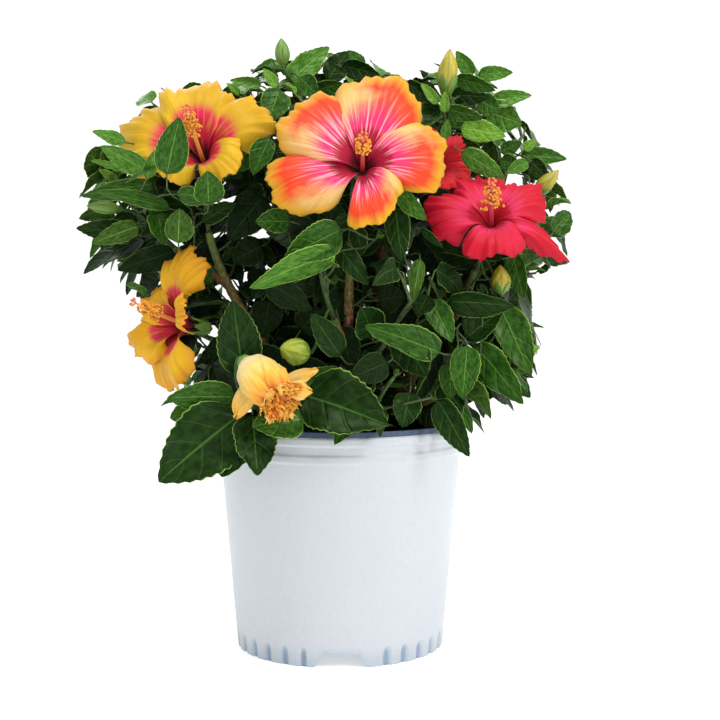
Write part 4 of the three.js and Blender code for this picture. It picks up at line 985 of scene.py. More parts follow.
# Petal skin is satin rather than glossy, with a soft nap that lights up at a low angle. Along the petal's own
# map run the dark eye, the throat with its rays, a body with two sides, fine veins and a rim.
def petal_material(name, dark, throat, ray, low, high, rim, vein, spread=0.08, eye_size=1.0, fade=0.62):
    """A petal's skin. The rays differ in length by the spread, and the body's colour is full at the fade."""
    material, tree, shader = new_material(
        name, Roughness=0.55, Specular_IOR_Level=0.2, Sheen_Weight=0.05, Sheen_Roughness=0.4
    )
    uv_map, round_bloom, outward = own_map(tree)
    petal = add_node(tree, "Math", {0: round_bloom, 1: 5.0}, operation="MULTIPLY")
    across = add_node(tree, "Math", {0: petal}, operation="FRACT")
    streaks = add_node(tree, "Mapping", {"Vector": uv_map, "Scale": (150.0, 1.6, 1.0)})
    streak = add_node(tree, "TexNoise", {"Vector": streaks, "Scale": 1.0, "Detail": 3.0})
    blotches = add_node(tree, "Mapping", {"Vector": uv_map, "Scale": (18.0, 3.5, 1.0)})
    blotch = add_node(tree, "TexNoise", {"Vector": blotches, "Scale": 1.0, "Detail": 4.0})
    shift = add_node(tree, "MapRange", {"Value": streak, "To Min": -spread, "To Max": spread})
    drift = add_node(tree, "MapRange", {"Value": blotch, "To Min": -0.3, "To Max": 0.3})
    reach = add_node(tree, "Math", {0: outward, 1: shift}, operation="ADD")
    side = add_node(tree, "Math", {0: across, 1: drift}, operation="ADD")
    body = add_node(tree, "ValToRGB", {"Fac": side}, [(0.5, low), (0.74, high)])
    stops = [(0.08, dark), (0.15, throat), (0.26, throat), (0.31, ray)]
    inner = add_node(tree, "ValToRGB", {"Fac": reach}, [(eye_size * place, shade) for place, shade in stops])
    share = add_node(
        tree, "MapRange", {"Value": reach, "From Min": 0.33 * eye_size, "From Max": fade},
        interpolation_type="SMOOTHSTEP",
    )
    skin = add_node(tree, "Mix", {0: share, 6: inner, 7: body}, data_type="RGBA")
    edge = add_node(tree, "MapRange", {"Value": reach, "From Min": 0.80, "From Max": 0.97})
    edged = add_node(tree, "Mix", {0: edge, 6: skin, 7: linear(rim)}, data_type="RGBA")
    fine = add_node(tree, "MapRange", {"Value": streak, "From Min": 0.5, "From Max": 0.62})
    stops = [(0.2, "#000000"), (0.3, "#d0d0d0"), (0.55, "#a0a0a0"), (0.78, "#202020")]
    rays = add_node(tree, "ValToRGB", {"Fac": outward}, stops)
    traced = add_node(tree, "Math", {0: fine, 1: rays}, operation="MULTIPLY")
    veined = add_node(tree, "Mix", {0: traced, 6: edged, 7: linear(vein)}, data_type="RGBA")
    cover(shader, veined, streak, 0.6, 0.001)
    return material


petal_skins = {
    "coral": petal_material(
        "petal_coral_and_cream", "#4c020c", "#98062a", "#cc2660", "#cc3812", "#cca05c", "#c08e16", "#e4bcb0",
        fade=0.68,
    ),
    "yellow_high": petal_material(
        "petal_golden_yellow", "#3c000c", "#a40422", "#bc1440", "#b68c0a", "#c29a14", "#c69620", "#a87c0a",
        spread=0.06, eye_size=1.15, fade=0.56,
    ),
    "yellow_low": petal_material(
        "petal_deep_yellow", "#3c000c", "#a40422", "#bc1440", "#c08c0a", "#cc9c14", "#c88818", "#b0780a",
        spread=0.06, eye_size=1.1, fade=0.48,
    ),
    "pink": petal_material(
        "petal_hot_pink", "#8a0418", "#a8061e", "#c02046", "#b00420", "#b80a2e", "#ac0622", "#cc3c60"
    ),
    "red": petal_material(
        "petal_scarlet", "#3a0008", "#7c0410", "#a40a1a", "#aa0c16", "#b41420", "#b41a24", "#8c0612"
    ),
}
# The green parts under a bloom are smooth and waxy, the column is fleshy, and pollen is a dry powder.
calyx_skin = mottled("calyx_waxy_green", 260.0, [(0.35, "#47691f"), (0.7, "#739336")], 3.0, Roughness=0.5)
stalk_skin = mottled(
    "flower_stalk_downy_green", 320.0, [(0.35, "#2f4818"), (0.7, "#4d6a28")], 3.0, Roughness=0.6,
    Specular_IOR_Level=0.3,
)
column_skin = {}
for name, shade, pale in [
    ("coral", "#9c1030", "#d86a50"), ("yellow_high", "#c8702c", "#dca050"),
    ("yellow_low", "#c87830", "#dca050"), ("pink", "#b81c40", "#d85a70"), ("red", "#980a18", "#c83040"),
]:
    column_skin[name], tree, shader = new_material(f"column_fleshy_{name}", Roughness=0.42)
    _, _, up_column = own_map(tree)
    cover(shader, add_node(tree, "ValToRGB", {"Fac": up_column}, [(0.0, shade), (1.0, pale)]))
pollen = mottled("anther_pollen", 900.0, [(0.3, "#c87410"), (0.7, "#dca030")], Roughness=0.9)
stigma_skin = mottled("stigma_velvet", 700.0, [(0.3, "#c04424"), (0.7, "#d8884c")], Roughness=0.7)


def ball(middle, radius, axis, sides=6, rows=5, long=1.0):
    """A small rounded body as rings along an axis."""
    turns = np.linspace(0.12, math.pi - 0.12, rows)
    points = [middle - axis * radius * long * math.cos(t) for t in turns]
    return tube_rings(points, [radius * math.sin(t) for t in turns], sides)


def grow_stalk(pile, mass, share, end, way, steps, radii, sides, finish):
    """A flower's stalk, from a place on its mass's own twig to the flower's foot."""
    start, direction = place_on(first_twigs[mass], share)
    stalk = curve_points(start, direction, end, way, steps)
    pile.loft(tube_rings(stalk, np.linspace(*radii, steps + 1), sides), finish)
    taken.append(stalk)


def across_blade(middle, side, half, down, dip):
    """A narrow blade's grid: five columns beside its midline, the outer ones lower."""
    return np.stack([middle + side * half * t - down * dip * abs(t) for t in (-1, -0.5, 0, 0.5, 1)], 1)


taken = []
for index, (name, bloom) in enumerate(BLOOMS.items()):
    facing, right, rise = bloom_frame(bloom)
    eye = np.array(bloom["eye"], float)
    flower = Pile()
    for number in range(5):
        grid = petal_grid(bloom, index, number)
        normals = grid_normals(grid)
        sheet = two_sided(grid, PETAL_THICKNESS, normals * np.sign((normals @ facing).sum()) * -1)
        across = np.linspace(-1, 1, PETAL_COLUMNS)
        u = (number + 0.5 + 0.48 * np.concatenate([across, across[::-1]])) / 5
        flower.loft(sheet, 0, uv_grid(u, np.linspace(0, 1, PETAL_ROWS)))
        taken.append(grid.reshape(-1, 3))
    lean = unit(facing + 0.25 * UP)
    shaft = curve_points(eye - facing * 14, facing, eye + lean * bloom["column"], lean, 24)
    flower.loft(tube_rings(shaft, np.linspace(2.4, 1.3, 25), 12), 1)
    lowest = bloom["habit"].get("anthers", 0.48)
    for k in range(ANTHERS):
        share = mix(lowest, 0.97, (k + 0.5) / ANTHERS)
        foot, direction = place_on(shaft, share)
        turn = GOLDEN_TURN * k + chance(index, k, 1)
        out = unit(turn_around(direction, turn) + 0.35 * direction * (1 - share))
        length = mix(*bloom["habit"].get("threads", (8, 4.4)), (share - lowest) / (1 - lowest))
        length *= mix(0.6, 1.15, chance(index, k, 2))
        tip = foot + out * length
        flower.loft(tube_rings(np.linspace(foot, tip, 4), [0.32, 0.24, 0.2, 0.2], 4), 1)
        flower.loft(ball(tip, mix(1.2, 1.7, chance(index, k, 3)), out, 6, 5, 0.8), 2)
    for k in range(5):
        turn = 2 * math.pi * k / 5 + index
        out = unit(turn_around(lean, turn) * 0.55 + lean)
        tip = shaft[-1] + out * 6.5
        flower.loft(tube_rings(curve_points(shaft[-1], lean, tip, out, 5), np.linspace(0.55, 0.4, 6), 5), 1)
        flower.loft(ball(tip, 1.5, out, 8, 6), 3)
    cup = np.linspace(eye - facing * 30, eye - facing * 17, 8)
    flower.loft(tube_rings(cup, [2.6, 4.4, 5.4, 6.0, 6.4, 6.6, 6.4, 4.0], 15), 4)
    for k in range(5):
        out = unit(around_axis(right, rise, 2 * math.pi * k / 5))
        side = np.cross(facing, out)
        share = np.linspace(0, 1, 8)[:, None]
        middle = eye - facing * 27 + facing * 19 * share + out * (6.2 + 2.0 * share)
        grid = across_blade(middle, side, 5.4 * (1 - share ** 2.2), out, 1.2)
        flower.loft(two_sided(grid, 0.6, -out), 4)
    grow_stalk(flower, bloom["mass"], BLOOM_STALK, eye - facing * 29, facing, 14, (1.5, 2.3), 8, 5)
    finishes = [petal_skins[name], column_skin[name], pollen, stigma_skin, calyx_skin, stalk_skin]
    flower.piece(f"bloom_{name}", finishes, "foliage")


# Buds: a green cup of five sepals with narrow bracts below it, and petals furled in a spiral that show yellow
# where the bud is nearly open.
BUD_ROWS = 26
# Furled petals have the same satin skin as the open ones, streaked from foot to tip and still partly green.
bud_skins = {"green": calyx_skin}
for kind, shades in [
    ("yellow", ["#74761a", "#968a1e", "#b09a2a", "#a8741e"]),
    ("lime", ["#5c761a", "#80901e", "#a0a42a", "#a89a28"]),
]:
    bud_skins[kind] = mottled(
        f"bud_furled_petals_{kind}", 1.0, list(zip([0.3, 0.5, 0.66, 0.8], shades)), 4.0,
        stretch=(26.0, 2.0, 1.0), relief=(0.5, 0.001), Roughness=0.5,
    )


def swollen(foot, axis, first, second, turns, height, size):
    """Rings round an axis from a table of heights and one of radii."""
    along = foot + axis * height[..., None]
    return along + first * (np.cos(turns) * size)[..., None] + second * (np.sin(turns) * size)[..., None]


def bract(pile, foot, out, up, length, width, finish, curve=0.35):
    """A narrow green blade that rises from a ring under a bud and bends outwards."""
    share = np.linspace(0, 1, 7)[:, None]
    middle = foot + up * length * share + out * length * curve * share ** 2
    side = np.cross(up, out)
    half = width / 2 * (1 - share ** 2) * (0.6 + share)
    pile.loft(two_sided(across_blade(middle, side, half, out, 0.25 * width), 0.5, -out), finish)


def bud(pile, foot, tip, radius, kind, seed):
    """A bud: furled petals or a ribbed green body, five sepals and seven narrow bracts."""
    axis = unit(tip - foot)
    length = np.linalg.norm(tip - foot)
    first = unit(np.cross(axis, [0.3, 1.0, 0.1]))
    second = np.cross(axis, first)
    turns = full_turn(40)[None, :]
    share = np.linspace(0, 1, BUD_ROWS)[:, None]
    bulge = np.sin(math.pi * np.clip(share, 0.02, 0.985) ** 0.8) ** 0.75
    spiral = (5 * turns / (2 * math.pi) - 1.6 * share + seed) % 1
    ridge = 1 + (0.3 if kind == "lime" else 0.2) * (spiral - 0.5) * share ** 0.7
    ribs = 1 + 0.03 * np.cos(5 * turns + seed)
    size = radius * bulge * (ribs if kind == "green" else ridge)
    pile.loft(swollen(foot, axis, first, second, turns, length * share, size))
    height = 0.97 if kind == "green" else 0.45
    for k in range(5):
        turn = 2 * math.pi * k / 5 + seed
        out = around_axis(first, second, turn)
        cup = np.linspace(0, 1, 9)[:, None]
        near = radius * np.sin(math.pi * np.clip(cup * height, 0.02, 0.98) ** 0.8) ** 0.75 + 0.7
        middle = foot + axis * length * height * cup
        columns = []
        for t in (-1, -0.6, 0, 0.6, 1):
            angle = turn + t * 0.62 * (1 - cup ** 2.5)
            columns.append(middle + (np.cos(angle) * first + np.sin(angle) * second) * near)
        pile.loft(two_sided(np.stack(columns, 1), 0.6, -out), 1)
    for k in range(7):
        out = around_axis(first, second, 2 * math.pi * k / 7 + 0.4 * seed)
        bract(pile, foot + out * 2.4 - axis * 1.0, out, axis, 0.34 * length, 2.2, 1)


# How far up its first twig each mass has a flower's stalk, so that the twig isn't cut short below it.
held = {bloom["mass"]: BLOOM_STALK for bloom in BLOOMS.values()}
for number, (mass, foot, tip, radius, kind) in enumerate(BUDS):
    foot, tip = np.array(foot, float), np.array(tip, float)
    pile = Pile()
    bud(pile, foot, tip, radius, kind, 1.3 * number)
    shares = np.linspace(0.15, 0.95, 17)
    behind = foot - unit(tip - foot) * 30 - along_twig(first_twigs[mass], shares)
    held[mass] = shares[np.argmin(np.linalg.norm(behind, axis=1))]
    grow_stalk(pile, mass, held[mass], foot, unit(tip - foot), 12, (1.2, 1.7), 7, 2)
    pile.piece(f"bud_on_{mass}", [bud_skins[kind], calyx_skin, stalk_skin], "foliage")


# The faded bloom: cream petals that have closed again and gone limp, pleated from the cup to a crumpled
# orange mouth, with three tips standing free.
WITHERED_ANTHERS = 150
SHREDS = 46
# A faded petal has lost its sheen: soft, matt and streaked along its folds, cream at the cup and burnt orange
# at the mouth. The withered anthers are dry and orange.
faded_skin, tree, shader = new_material("petal_faded_cream", Roughness=0.6, Sheen_Weight=0.1)
uv_map, _, onward = own_map(tree)
folds = add_node(tree, "Mapping", {"Vector": uv_map, "Scale": (34.0, 3.0, 1.0)})
fold = add_node(tree, "TexNoise", {"Vector": folds, "Scale": 1.0, "Detail": 5.0})
drift = add_node(tree, "MapRange", {"Value": fold, "To Min": -0.22, "To Max": 0.22})
place = add_node(tree, "Math", {0: onward, 1: drift}, operation="ADD")
stops = [(0.1, "#d0c096"), (0.4, "#dabc6c"), (0.7, "#e0a830"), (0.9, "#dc8614"), (1.0, "#b8500c")]
cover(shader, add_node(tree, "ValToRGB", {"Fac": place}, stops), fold, 0.7, 0.0015)
withered = [(0.3, "#c45c0a"), (0.5, "#e0861a"), (0.7, "#ecac3c")]
faded_anthers = mottled("faded_anther_mass", 260.0, withered, 3.0, Roughness=0.85)

faded = Pile()
cup_foot, mouth = np.array([-85.0, -118, 284]), np.array([-52.0, -150, 254])
axis = unit(mouth - cup_foot)
first = unit(np.cross(axis, UP))
second = np.cross(axis, first)
turns = full_turn(120)[None, :]
share = np.linspace(0, 1, 46)[:, None]
girth = np.interp(share, [0, 0.06, 0.2, 0.42, 0.65, 0.82, 0.93, 1.0], [5, 10, 17, 21.5, 21, 18, 15, 10])
furl = (5 * turns / (2 * math.pi) - 0.9 * share + 0.3) % 1
pleats = (
    1 + 0.17 * (furl - 0.5) * share ** 0.6 + 0.05 * np.cos(2 * turns + 1)
    + (0.09 * np.sin(13 * turns + 9 * share) + 0.06 * np.sin(27 * turns - 14 * share)) * share ** 3
)
height = np.linalg.norm(mouth - cup_foot) * (share + 0.07 * np.sin(7 * turns + 3) * share ** 4)
faded.loft(swollen(cup_foot, axis, first, second, turns, height, girth * pleats))
for number, (foot, tip, width, lift) in enumerate([
    ((-80, -132, 266), (-93, -140, 238), 20, (-0.5, -0.8, 0.3)),
    ((-48, -138, 268), (-22, -142, 280), 15, (0.1, -0.8, 0.6)),
    ((-44, -146, 262), (-26, -150, 262), 17, (0.5, -0.8, 0.3)),
]):
    foot, tip, lift = (np.array(value, float) for value in (foot, tip, lift))
    direction = unit(tip - foot)
    side = unit(np.cross(lift, direction))
    normal = np.cross(direction, side)
    s = np.linspace(0, 1, 16)[:, None, None]
    a = np.linspace(-1, 1, 17)[None, :, None]
    half = width / 2 * (0.75 + 0.35 * np.sin(math.pi * s)) * np.sqrt(1.02 - s ** 4)
    ripple = normal * (1.8 * np.sin(4 * a + number) + 1.2 * np.sin(9 * a + 5 * s) - 3 * a * a) * s
    grid = foot + (tip - foot) * (s * (1 + 0.07 * np.sin(9 * a + number) * s)) + side * a * half + ripple
    u = np.concatenate([np.linspace(0, 1, 17), np.linspace(1, 0, 17)])
    faded.loft(two_sided(grid, 0.5, -normal[None, None]), 0, uv_grid(u, np.linspace(0.35, 0.7, 16)))
for k in range(WITHERED_ANTHERS):
    radial = around_axis(first, second, GOLDEN_TURN * k)
    reach = 16.5 * math.sqrt((k + 0.5) / WITHERED_ANTHERS)
    foot = mouth + radial * reach - axis * mix(1, 5, chance(k, 3))
    out = unit(axis + 0.7 * (chances(3, k, 11) - 0.5) + radial * 0.4)
    tip = foot + out * mix(5, 12, chance(k, 12))
    faded.loft(tube_rings(curve_points(foot, axis, tip, out, 4), [0.7, 0.6, 0.5, 0.45, 0.4], 5), 1)
    faded.loft(ball(tip, mix(0.6, 1.1, chance(k, 13)), out, 6, 5, 1.8), 1)
for k in range(SHREDS):
    radial = around_axis(first, second, GOLDEN_TURN * k + 1)
    reach = 17.5 * math.sqrt((k + 0.5) / SHREDS)
    around = np.cross(axis, radial)
    foot = mouth + radial * reach - axis * mix(2, 6, chance(k, 14))
    s = np.linspace(0, 1, 7)[:, None, None]
    a = np.linspace(-1, 1, 9)[None, :, None]
    out = unit(axis + radial * mix(0.1, 0.9, chance(k, 15)) + around * mix(-0.5, 0.5, chance(k, 16)))
    wave = 1.5 * np.sin(4 * a + 5 * s + k) + 0.8 * np.sin(9 * a - 4 * s + 2 * k)
    blade = foot + out * s * mix(8, 14, chance(k, 17)) * (1 + 0.15 * np.sin(7 * a + k))
    blade = blade + around * a * mix(2.5, 4.5, chance(k, 18)) * (0.5 + s) + radial * wave * s
    place = mix(0.58, 0.82, chance(k, 19))
    uv = uv_grid(np.linspace(0, 0.4, 18), np.linspace(place - 0.2, place, 7))
    faded.loft(two_sided(blade, 0.35, -radial), 0, uv)
for k in range(5):
    out = around_axis(first, second, 2 * math.pi * k / 5 + 0.5)
    bract(faded, cup_foot + out * 6.5, out, axis, 17, 11, 2, 0.32)
for k in range(7):
    out = around_axis(first, second, 2 * math.pi * k / 7)
    bract(faded, cup_foot + out * 3.5 - axis * 3, out, axis, 12, 2.6, 2, 0.6)
faded.loft(ball(cup_foot, 7.5, axis, 12, 8, 0.9), 2)
held["skirt_left"] = 0.5
grow_stalk(faded, "skirt_left", held["skirt_left"], cup_foot - axis * 5, axis, 12, (1.5, 2.2), 7, 3)
faded.piece("faded_bloom_left", [faded_skin, faded_anthers, calyx_skin, stalk_skin], "foliage")
taken.append(np.concatenate(faded.points))


# The leaves: ovate, coarsely toothed, glossy dark green above and paler and matt beneath, with sunk veins, a
# pale rim and a wavy blade on a slender stalk. They stand round each twig by the golden angle.
LEAF_TRIES = 10
TIP_LEAVES = 3
LOW_LENGTH = 94
HIGH_LENGTH = 70
LEAF_BREADTH = 0.66
# The rest are dealt out in four passes, each with how large its leaves are and how far apart the joints.
PASSES = [(1.0, 24.0), (0.82, 16.0), (0.66, 12.0), (0.6, 8.0)]
# Where a leaf's painted light and shade steps from one copy of the leaf skin to the next, from deep shade to
# light.
PAINTED_LIGHT_STEPS = (0.4, 0.66, 0.96)
LONG_LEAF = 52
FULL_ROWS = 22
FEW_ROWS = 14
CELL = 3.0
GRID_LOW = np.array([-260.0, -240.0, 140.0])
GRID_SIZE = (167, 160, 162)
LEAF_ACROSS = np.array([-1, -0.86, -0.5, 0, 0.5, 0.86, 1])
LEAF_FINE = np.linspace(-1, 1, 13)
MIDLINE = np.linspace(0.25, 1.0, 5)[:, None]
LIGHT_SIDE = np.array([0.2, -1.0, 0.2])
occupied = np.zeros(GRID_SIZE, bool)


def cells(points):
    """The cells of the grid of taken room that hold the points."""
    spots = ((points - GRID_LOW) / CELL).astype(int)
    return tuple(np.clip(spots, 1, np.array(GRID_SIZE) - 2).T)


def occupy(points, grow=1):
    """Marks the room round the points as taken."""
    x, y, z = cells(points)
    for step in range(-grow, grow + 1):
        occupied[x + step, y, z] = True
        occupied[x, y + step, z] = True
        occupied[x, y, z + step] = True


def curled(q, fold, curl):
    """How far aside and up a cross-section that bends evenly has come after a length q."""
    curl = np.where(np.abs(curl) < 1e-4, 1e-4, curl)
    return (np.sin(fold + curl * q) - np.sin(fold)) / curl, (np.cos(fold) - np.cos(fold + curl * q)) / curl


def leaf_grid(leaf, rows, across=LEAF_ACROSS):
    """The upper face of a blade: rows from its foot to its tip, columns from side to side."""
    s = np.linspace(0, 1, rows) ** 0.92
    outline = 2.437 * np.sqrt(s) * (1 - s) ** 0.85 + 0.05 * (1 - s)
    tooth = np.where(np.arange(rows) % 2 == 0, 1, -1) * (s > 0.2) * (s < 0.985)
    half = leaf["width"] / 2 * outline
    length = leaf["length"]
    drop = leaf["sag"] * length * s ** 2 + leaf["hook"] * length * s ** 4
    line = leaf["foot"] + leaf["direction"] * (length * s)[:, None] - UP * drop[:, None]
    tangent = np.gradient(line, axis=0)
    tangent /= np.linalg.norm(tangent, axis=1)[:, None]
    turn = leaf["twist"] * s
    side = np.cross(leaf["face"], leaf["direction"])
    side = side[None] * np.cos(turn)[:, None] + leaf["face"][None] * np.sin(turn)[:, None]
    side = side - tangent * (side * tangent).sum(axis=1)[:, None]
    side /= np.linalg.norm(side, axis=1)[:, None]
    normal = np.cross(tangent, side)
    t = across[None, :]
    edge = np.abs(t) ** 6
    q = np.abs(t) * half[:, None] * (1 + 0.025 * tooth[:, None] * edge)
    curl = leaf["curl"] / max(leaf["width"], 1) * (0.4 + 1.2 * s[:, None] ** 2)
    bend = np.minimum(q, 0.35 * half[:, None])
    x, z = curled(bend, leaf["fold"], curl)
    widest = 0.65 * np.maximum(half, 1)[:, None]
    rolled = leaf["lip"] * (t > 0) * np.sin(math.pi * s)[:, None] ** 0.4 / widest
    more_x, more_z = curled(q - bend, leaf["fold"] + curl * bend, curl + rolled)
    swing = 2 * math.pi * (leaf["waves"] * s[:, None] + leaf["phase"]) + (t > 0) * leaf["phase"] * 5
    wave = leaf["wave"] * half[:, None] * np.abs(t) ** 2.2 * np.sin(swing)
    aside = side[:, None] * (np.sign(t) * (x + more_x))[..., None]
    upward = normal[:, None] * (z + more_z + wave)[..., None]
    forward = tangent[:, None] * (0.007 * length * tooth[:, None] * edge)[..., None]
    return line[:, None] + aside + upward + forward, normal


def leaf_samples(leaf):
    """Points all over a blade but for its foot."""
    grid, _ = leaf_grid(leaf, FULL_ROWS, LEAF_FINE)
    return grid[3:].reshape(-1, 3)


def shape_leaf(leaf, *keys):
    """Gives a leaf its own fold, curl, waves and twist."""
    c = chances(7, *keys)
    leaf["fold"] = mix(0.02, 0.4, c[1])
    leaf["curl"] = mix(-1.3, 0.6, c[2]) if c[0] < 0.85 else mix(1.2, 2.2, c[2])
    leaf["wave"] = mix(0.04, 0.17, c[3])
    leaf["waves"] = mix(1.4, 2.8, c[4])
    leaf["phase"] = c[5]
    leaf["twist"] = mix(-0.5, 0.5, c[6])
    leaf["hook"] = mix(0.0, 0.14, c[0])
    leaf["lip"] = 0.0
    return leaf


def leaf_on(index, twig_number, points, number, count, attempt, growth):
    """A leaf at one joint of a twig. It faces outwards and to the light, and each attempt turns it further."""
    keys = (index, twig_number, number, attempt, count)
    share = min((number + 0.6) / count, 0.97)
    root, direction = place_on(points, share)
    c = chances(8, *keys)
    out = turn_around(direction, GOLDEN_TURN * number + attempt * 1.7 + c[0] * 0.8)
    radial = outwards(root)
    height = min(max((root[2] - 200) / 340, 0), 1)
    length = mix(LOW_LENGTH, HIGH_LENGTH, height) * mix(0.78, 1.08, c[1]) * mix(1, 0.85, share)
    length *= growth * mix(1, 0.75, attempt / LEAF_TRIES)
    stalk = unit(out + 0.5 * direction + 0.4 * radial)
    foot = root + stalk * length * mix(0.12, 0.26, c[7])
    hang = mix(0.2, -0.8, c[2])
    blade = unit(0.85 * out + 0.42 * radial + 0.25 * direction + UP * hang)
    face = 0.5 * UP + 0.95 * radial + 1.0 * (c[3:6] - 0.5) + LIGHT_SIDE * 0.3
    face = unit(face - blade * (face @ blade))
    leaf = dict(
        root=root, foot=foot, direction=blade, face=face, length=length, sag=0.16, stalk=stalk,
        width=length * LEAF_BREADTH * mix(0.85, 1.1, c[6]), young=False, twig=twig_number, share=share,
        mass=index,
    )
    return shape_leaf(leaf, *keys, 9)


def tip_leaf(index, twig_number, points, number, attempt):
    """One of the small narrow leaves that stand up round the end of a shoot."""
    keys = (twig_number, number, attempt, 303)
    share = 1 - 0.03 * number
    root, direction = place_on(points, share)
    c = chances(3, *keys)
    out = turn_around(direction, GOLDEN_TURN * number + attempt * 1.3 + c[0])
    blade = unit(direction + (0.35 + 0.3 * number) * out + 0.2 * UP)
    face = direction - 0.6 * out + 0.3 * UP + 0.4 * LIGHT_SIDE
    length = (20 + 9 * number) * mix(0.85, 1.2, c[1])
    stalk = unit(direction + 0.6 * out)
    face = unit(face - blade * (face @ blade))
    leaf = dict(
        root=root, foot=root + stalk * (2 + 2.5 * number), direction=blade, face=face, length=length,
        sag=0.1, stalk=stalk, width=length * mix(0.45, 0.55, c[2]), young=True, twig=twig_number, share=share,
        mass=index,
    )
    shape_leaf(leaf, *keys)
    leaf["fold"] = mix(0.7, 0.3, number / TIP_LEAVES)
    return leaf


def place_leaf(leaf):
    """Adds a leaf where its blade finds free room, and says whether it did."""
    midline = leaf["foot"] + leaf["direction"] * leaf["length"] * MIDLINE
    midline = midline - UP * leaf["sag"] * leaf["length"] * MIDLINE ** 2
    midline = np.concatenate([midline, leaf["root"] + (leaf["foot"] - leaf["root"]) * MIDLINE[:3]])
    if occupied[cells(midline[:5])].any() or not clear_of_pot(midline[:5]) or not clear_of_blooms(midline):
        return False
    samples = leaf_samples(leaf)
    if occupied[cells(samples)].any() or not clear_of_pot(samples[::5]) or not clear_of_blooms(samples[::3]):
        return False
    if leaf["twig"] < inner_shoots and not in_space(leaf["mass"], samples[::6], 1.0, 12):
        return False
    leaves.append(leaf)
    occupy(samples)
    return True


# Short leafy shoots on the stems and boughs themselves fill the heart of the shrub.
inner_shoots = len(twigs)
for number, (line, radii) in enumerate(limbs):
    length = np.linalg.norm(np.diff(line, axis=0), axis=1).sum()
    for step in range(int(length / 20)):
        point, direction = place_on(line, min(0.06 + step * 20 / length, 0.98))
        if point[2] < SOIL_LEVEL + 22:
            continue
        out = turn_around(direction, GOLDEN_TURN * step + number)
        lean = unit(out + 0.35 * direction + LIGHT_SIDE * 0.25)
        reach = mix(22, 52, chance(number, step, 61))
        end = point + lean * reach + UP * reach * 0.15
        index = np.argmin(np.linalg.norm(MIDDLES - end, axis=1))
        twigs.append((index, curve_points(point, out, end, lean, 3), 1.2, 0.9, -1, 0.0))

# Room is taken by the blooms, buds, limbs and twigs first, then by the leaves that face the viewer, each on a
# twig near its foot and behind it. The rest fill what is left, the large ones before the small ones.
leaves = []
for points in taken:
    occupy(points)
for line, _ in limbs:
    occupy(along_twig(line, np.linspace(0, 1, 60)), 0)
for twig in twigs:
    occupy(along_twig(twig[1], np.linspace(0, 1, 24)), 0)
shares = np.arange(0.1, 0.96, 0.05)
sites = np.concatenate([along_twig(twig[1], shares) for twig in twigs])
for number, (foot, tip, width, roll, tone) in enumerate(KEY_LEAVES):
    foot, span = np.array(foot, float), np.array(tip, float) - foot
    span[2] += 0.06 * np.linalg.norm(span)
    direction = unit(span)
    way = sites - foot
    far = np.linalg.norm((way + direction * 16) * (1, 0.5, 1), axis=1)
    nearest = np.argmin(far + 2 * np.maximum(way @ direction, 0) + 1.5 * np.maximum(-way[:, 1], 0))
    seen = unit(np.array(CAMERA_PLACE) * 1000 - foot)
    seen = unit(seen - direction * (seen @ direction))
    roll = math.radians(roll)
    leaf = dict(
        root=sites[nearest], foot=foot, direction=direction, length=np.linalg.norm(span), sag=0.06,
        face=seen * math.cos(roll) + np.cross(direction, seen) * math.sin(roll), width=width * 1.04,
        stalk=unit(unit(foot - sites[nearest]) + direction), young=False, twig=nearest // len(shares),
        share=shares[nearest % len(shares)],
        mass=np.argmin(np.linalg.norm((MIDDLES - foot - span / 2) / HALVES, axis=1)),
    )
    shape_leaf(leaf, number, 401)
    leaf["hook"] = 0.0
    leaf["lip"] = ROLLED_LEAVES.get(number, 0.0)
    leaf["curl"] *= 0.5
    leaf["twist"] *= 0.5
    leaf["tone"] = tone
    leaves.append(leaf)
    occupy(leaf_samples(leaf))
for growth, spacing in PASSES:
    for twig_number, twig in enumerate(twigs):
        length = np.linalg.norm(np.diff(twig[1], axis=0), axis=1).sum()
        count = max(round(length / spacing), 2)
        for number in range(count):
            for attempt in range(LEAF_TRIES):
                if place_leaf(leaf_on(twig[0], twig_number, twig[1], number, count, attempt, growth)):
                    break
for twig_number, twig in enumerate(twigs):
    for number in range(TIP_LEAVES):
        for attempt in range(3):
            if place_leaf(tip_leaf(twig[0], twig_number, twig[1], number, attempt)):
                break
# A twig ends at its outermost leaf or side twig, and one that carries nothing is left out.
used = np.zeros(len(twigs))
for leaf in leaves:
    used[leaf["twig"]] = max(used[leaf["twig"]], leaf["share"])
for number in range(len(twigs) - 1, -1, -1):
    parent, share = twigs[number][4:]
    if parent >= 0 and used[number] > 0:
        used[parent] = max(used[parent], share)


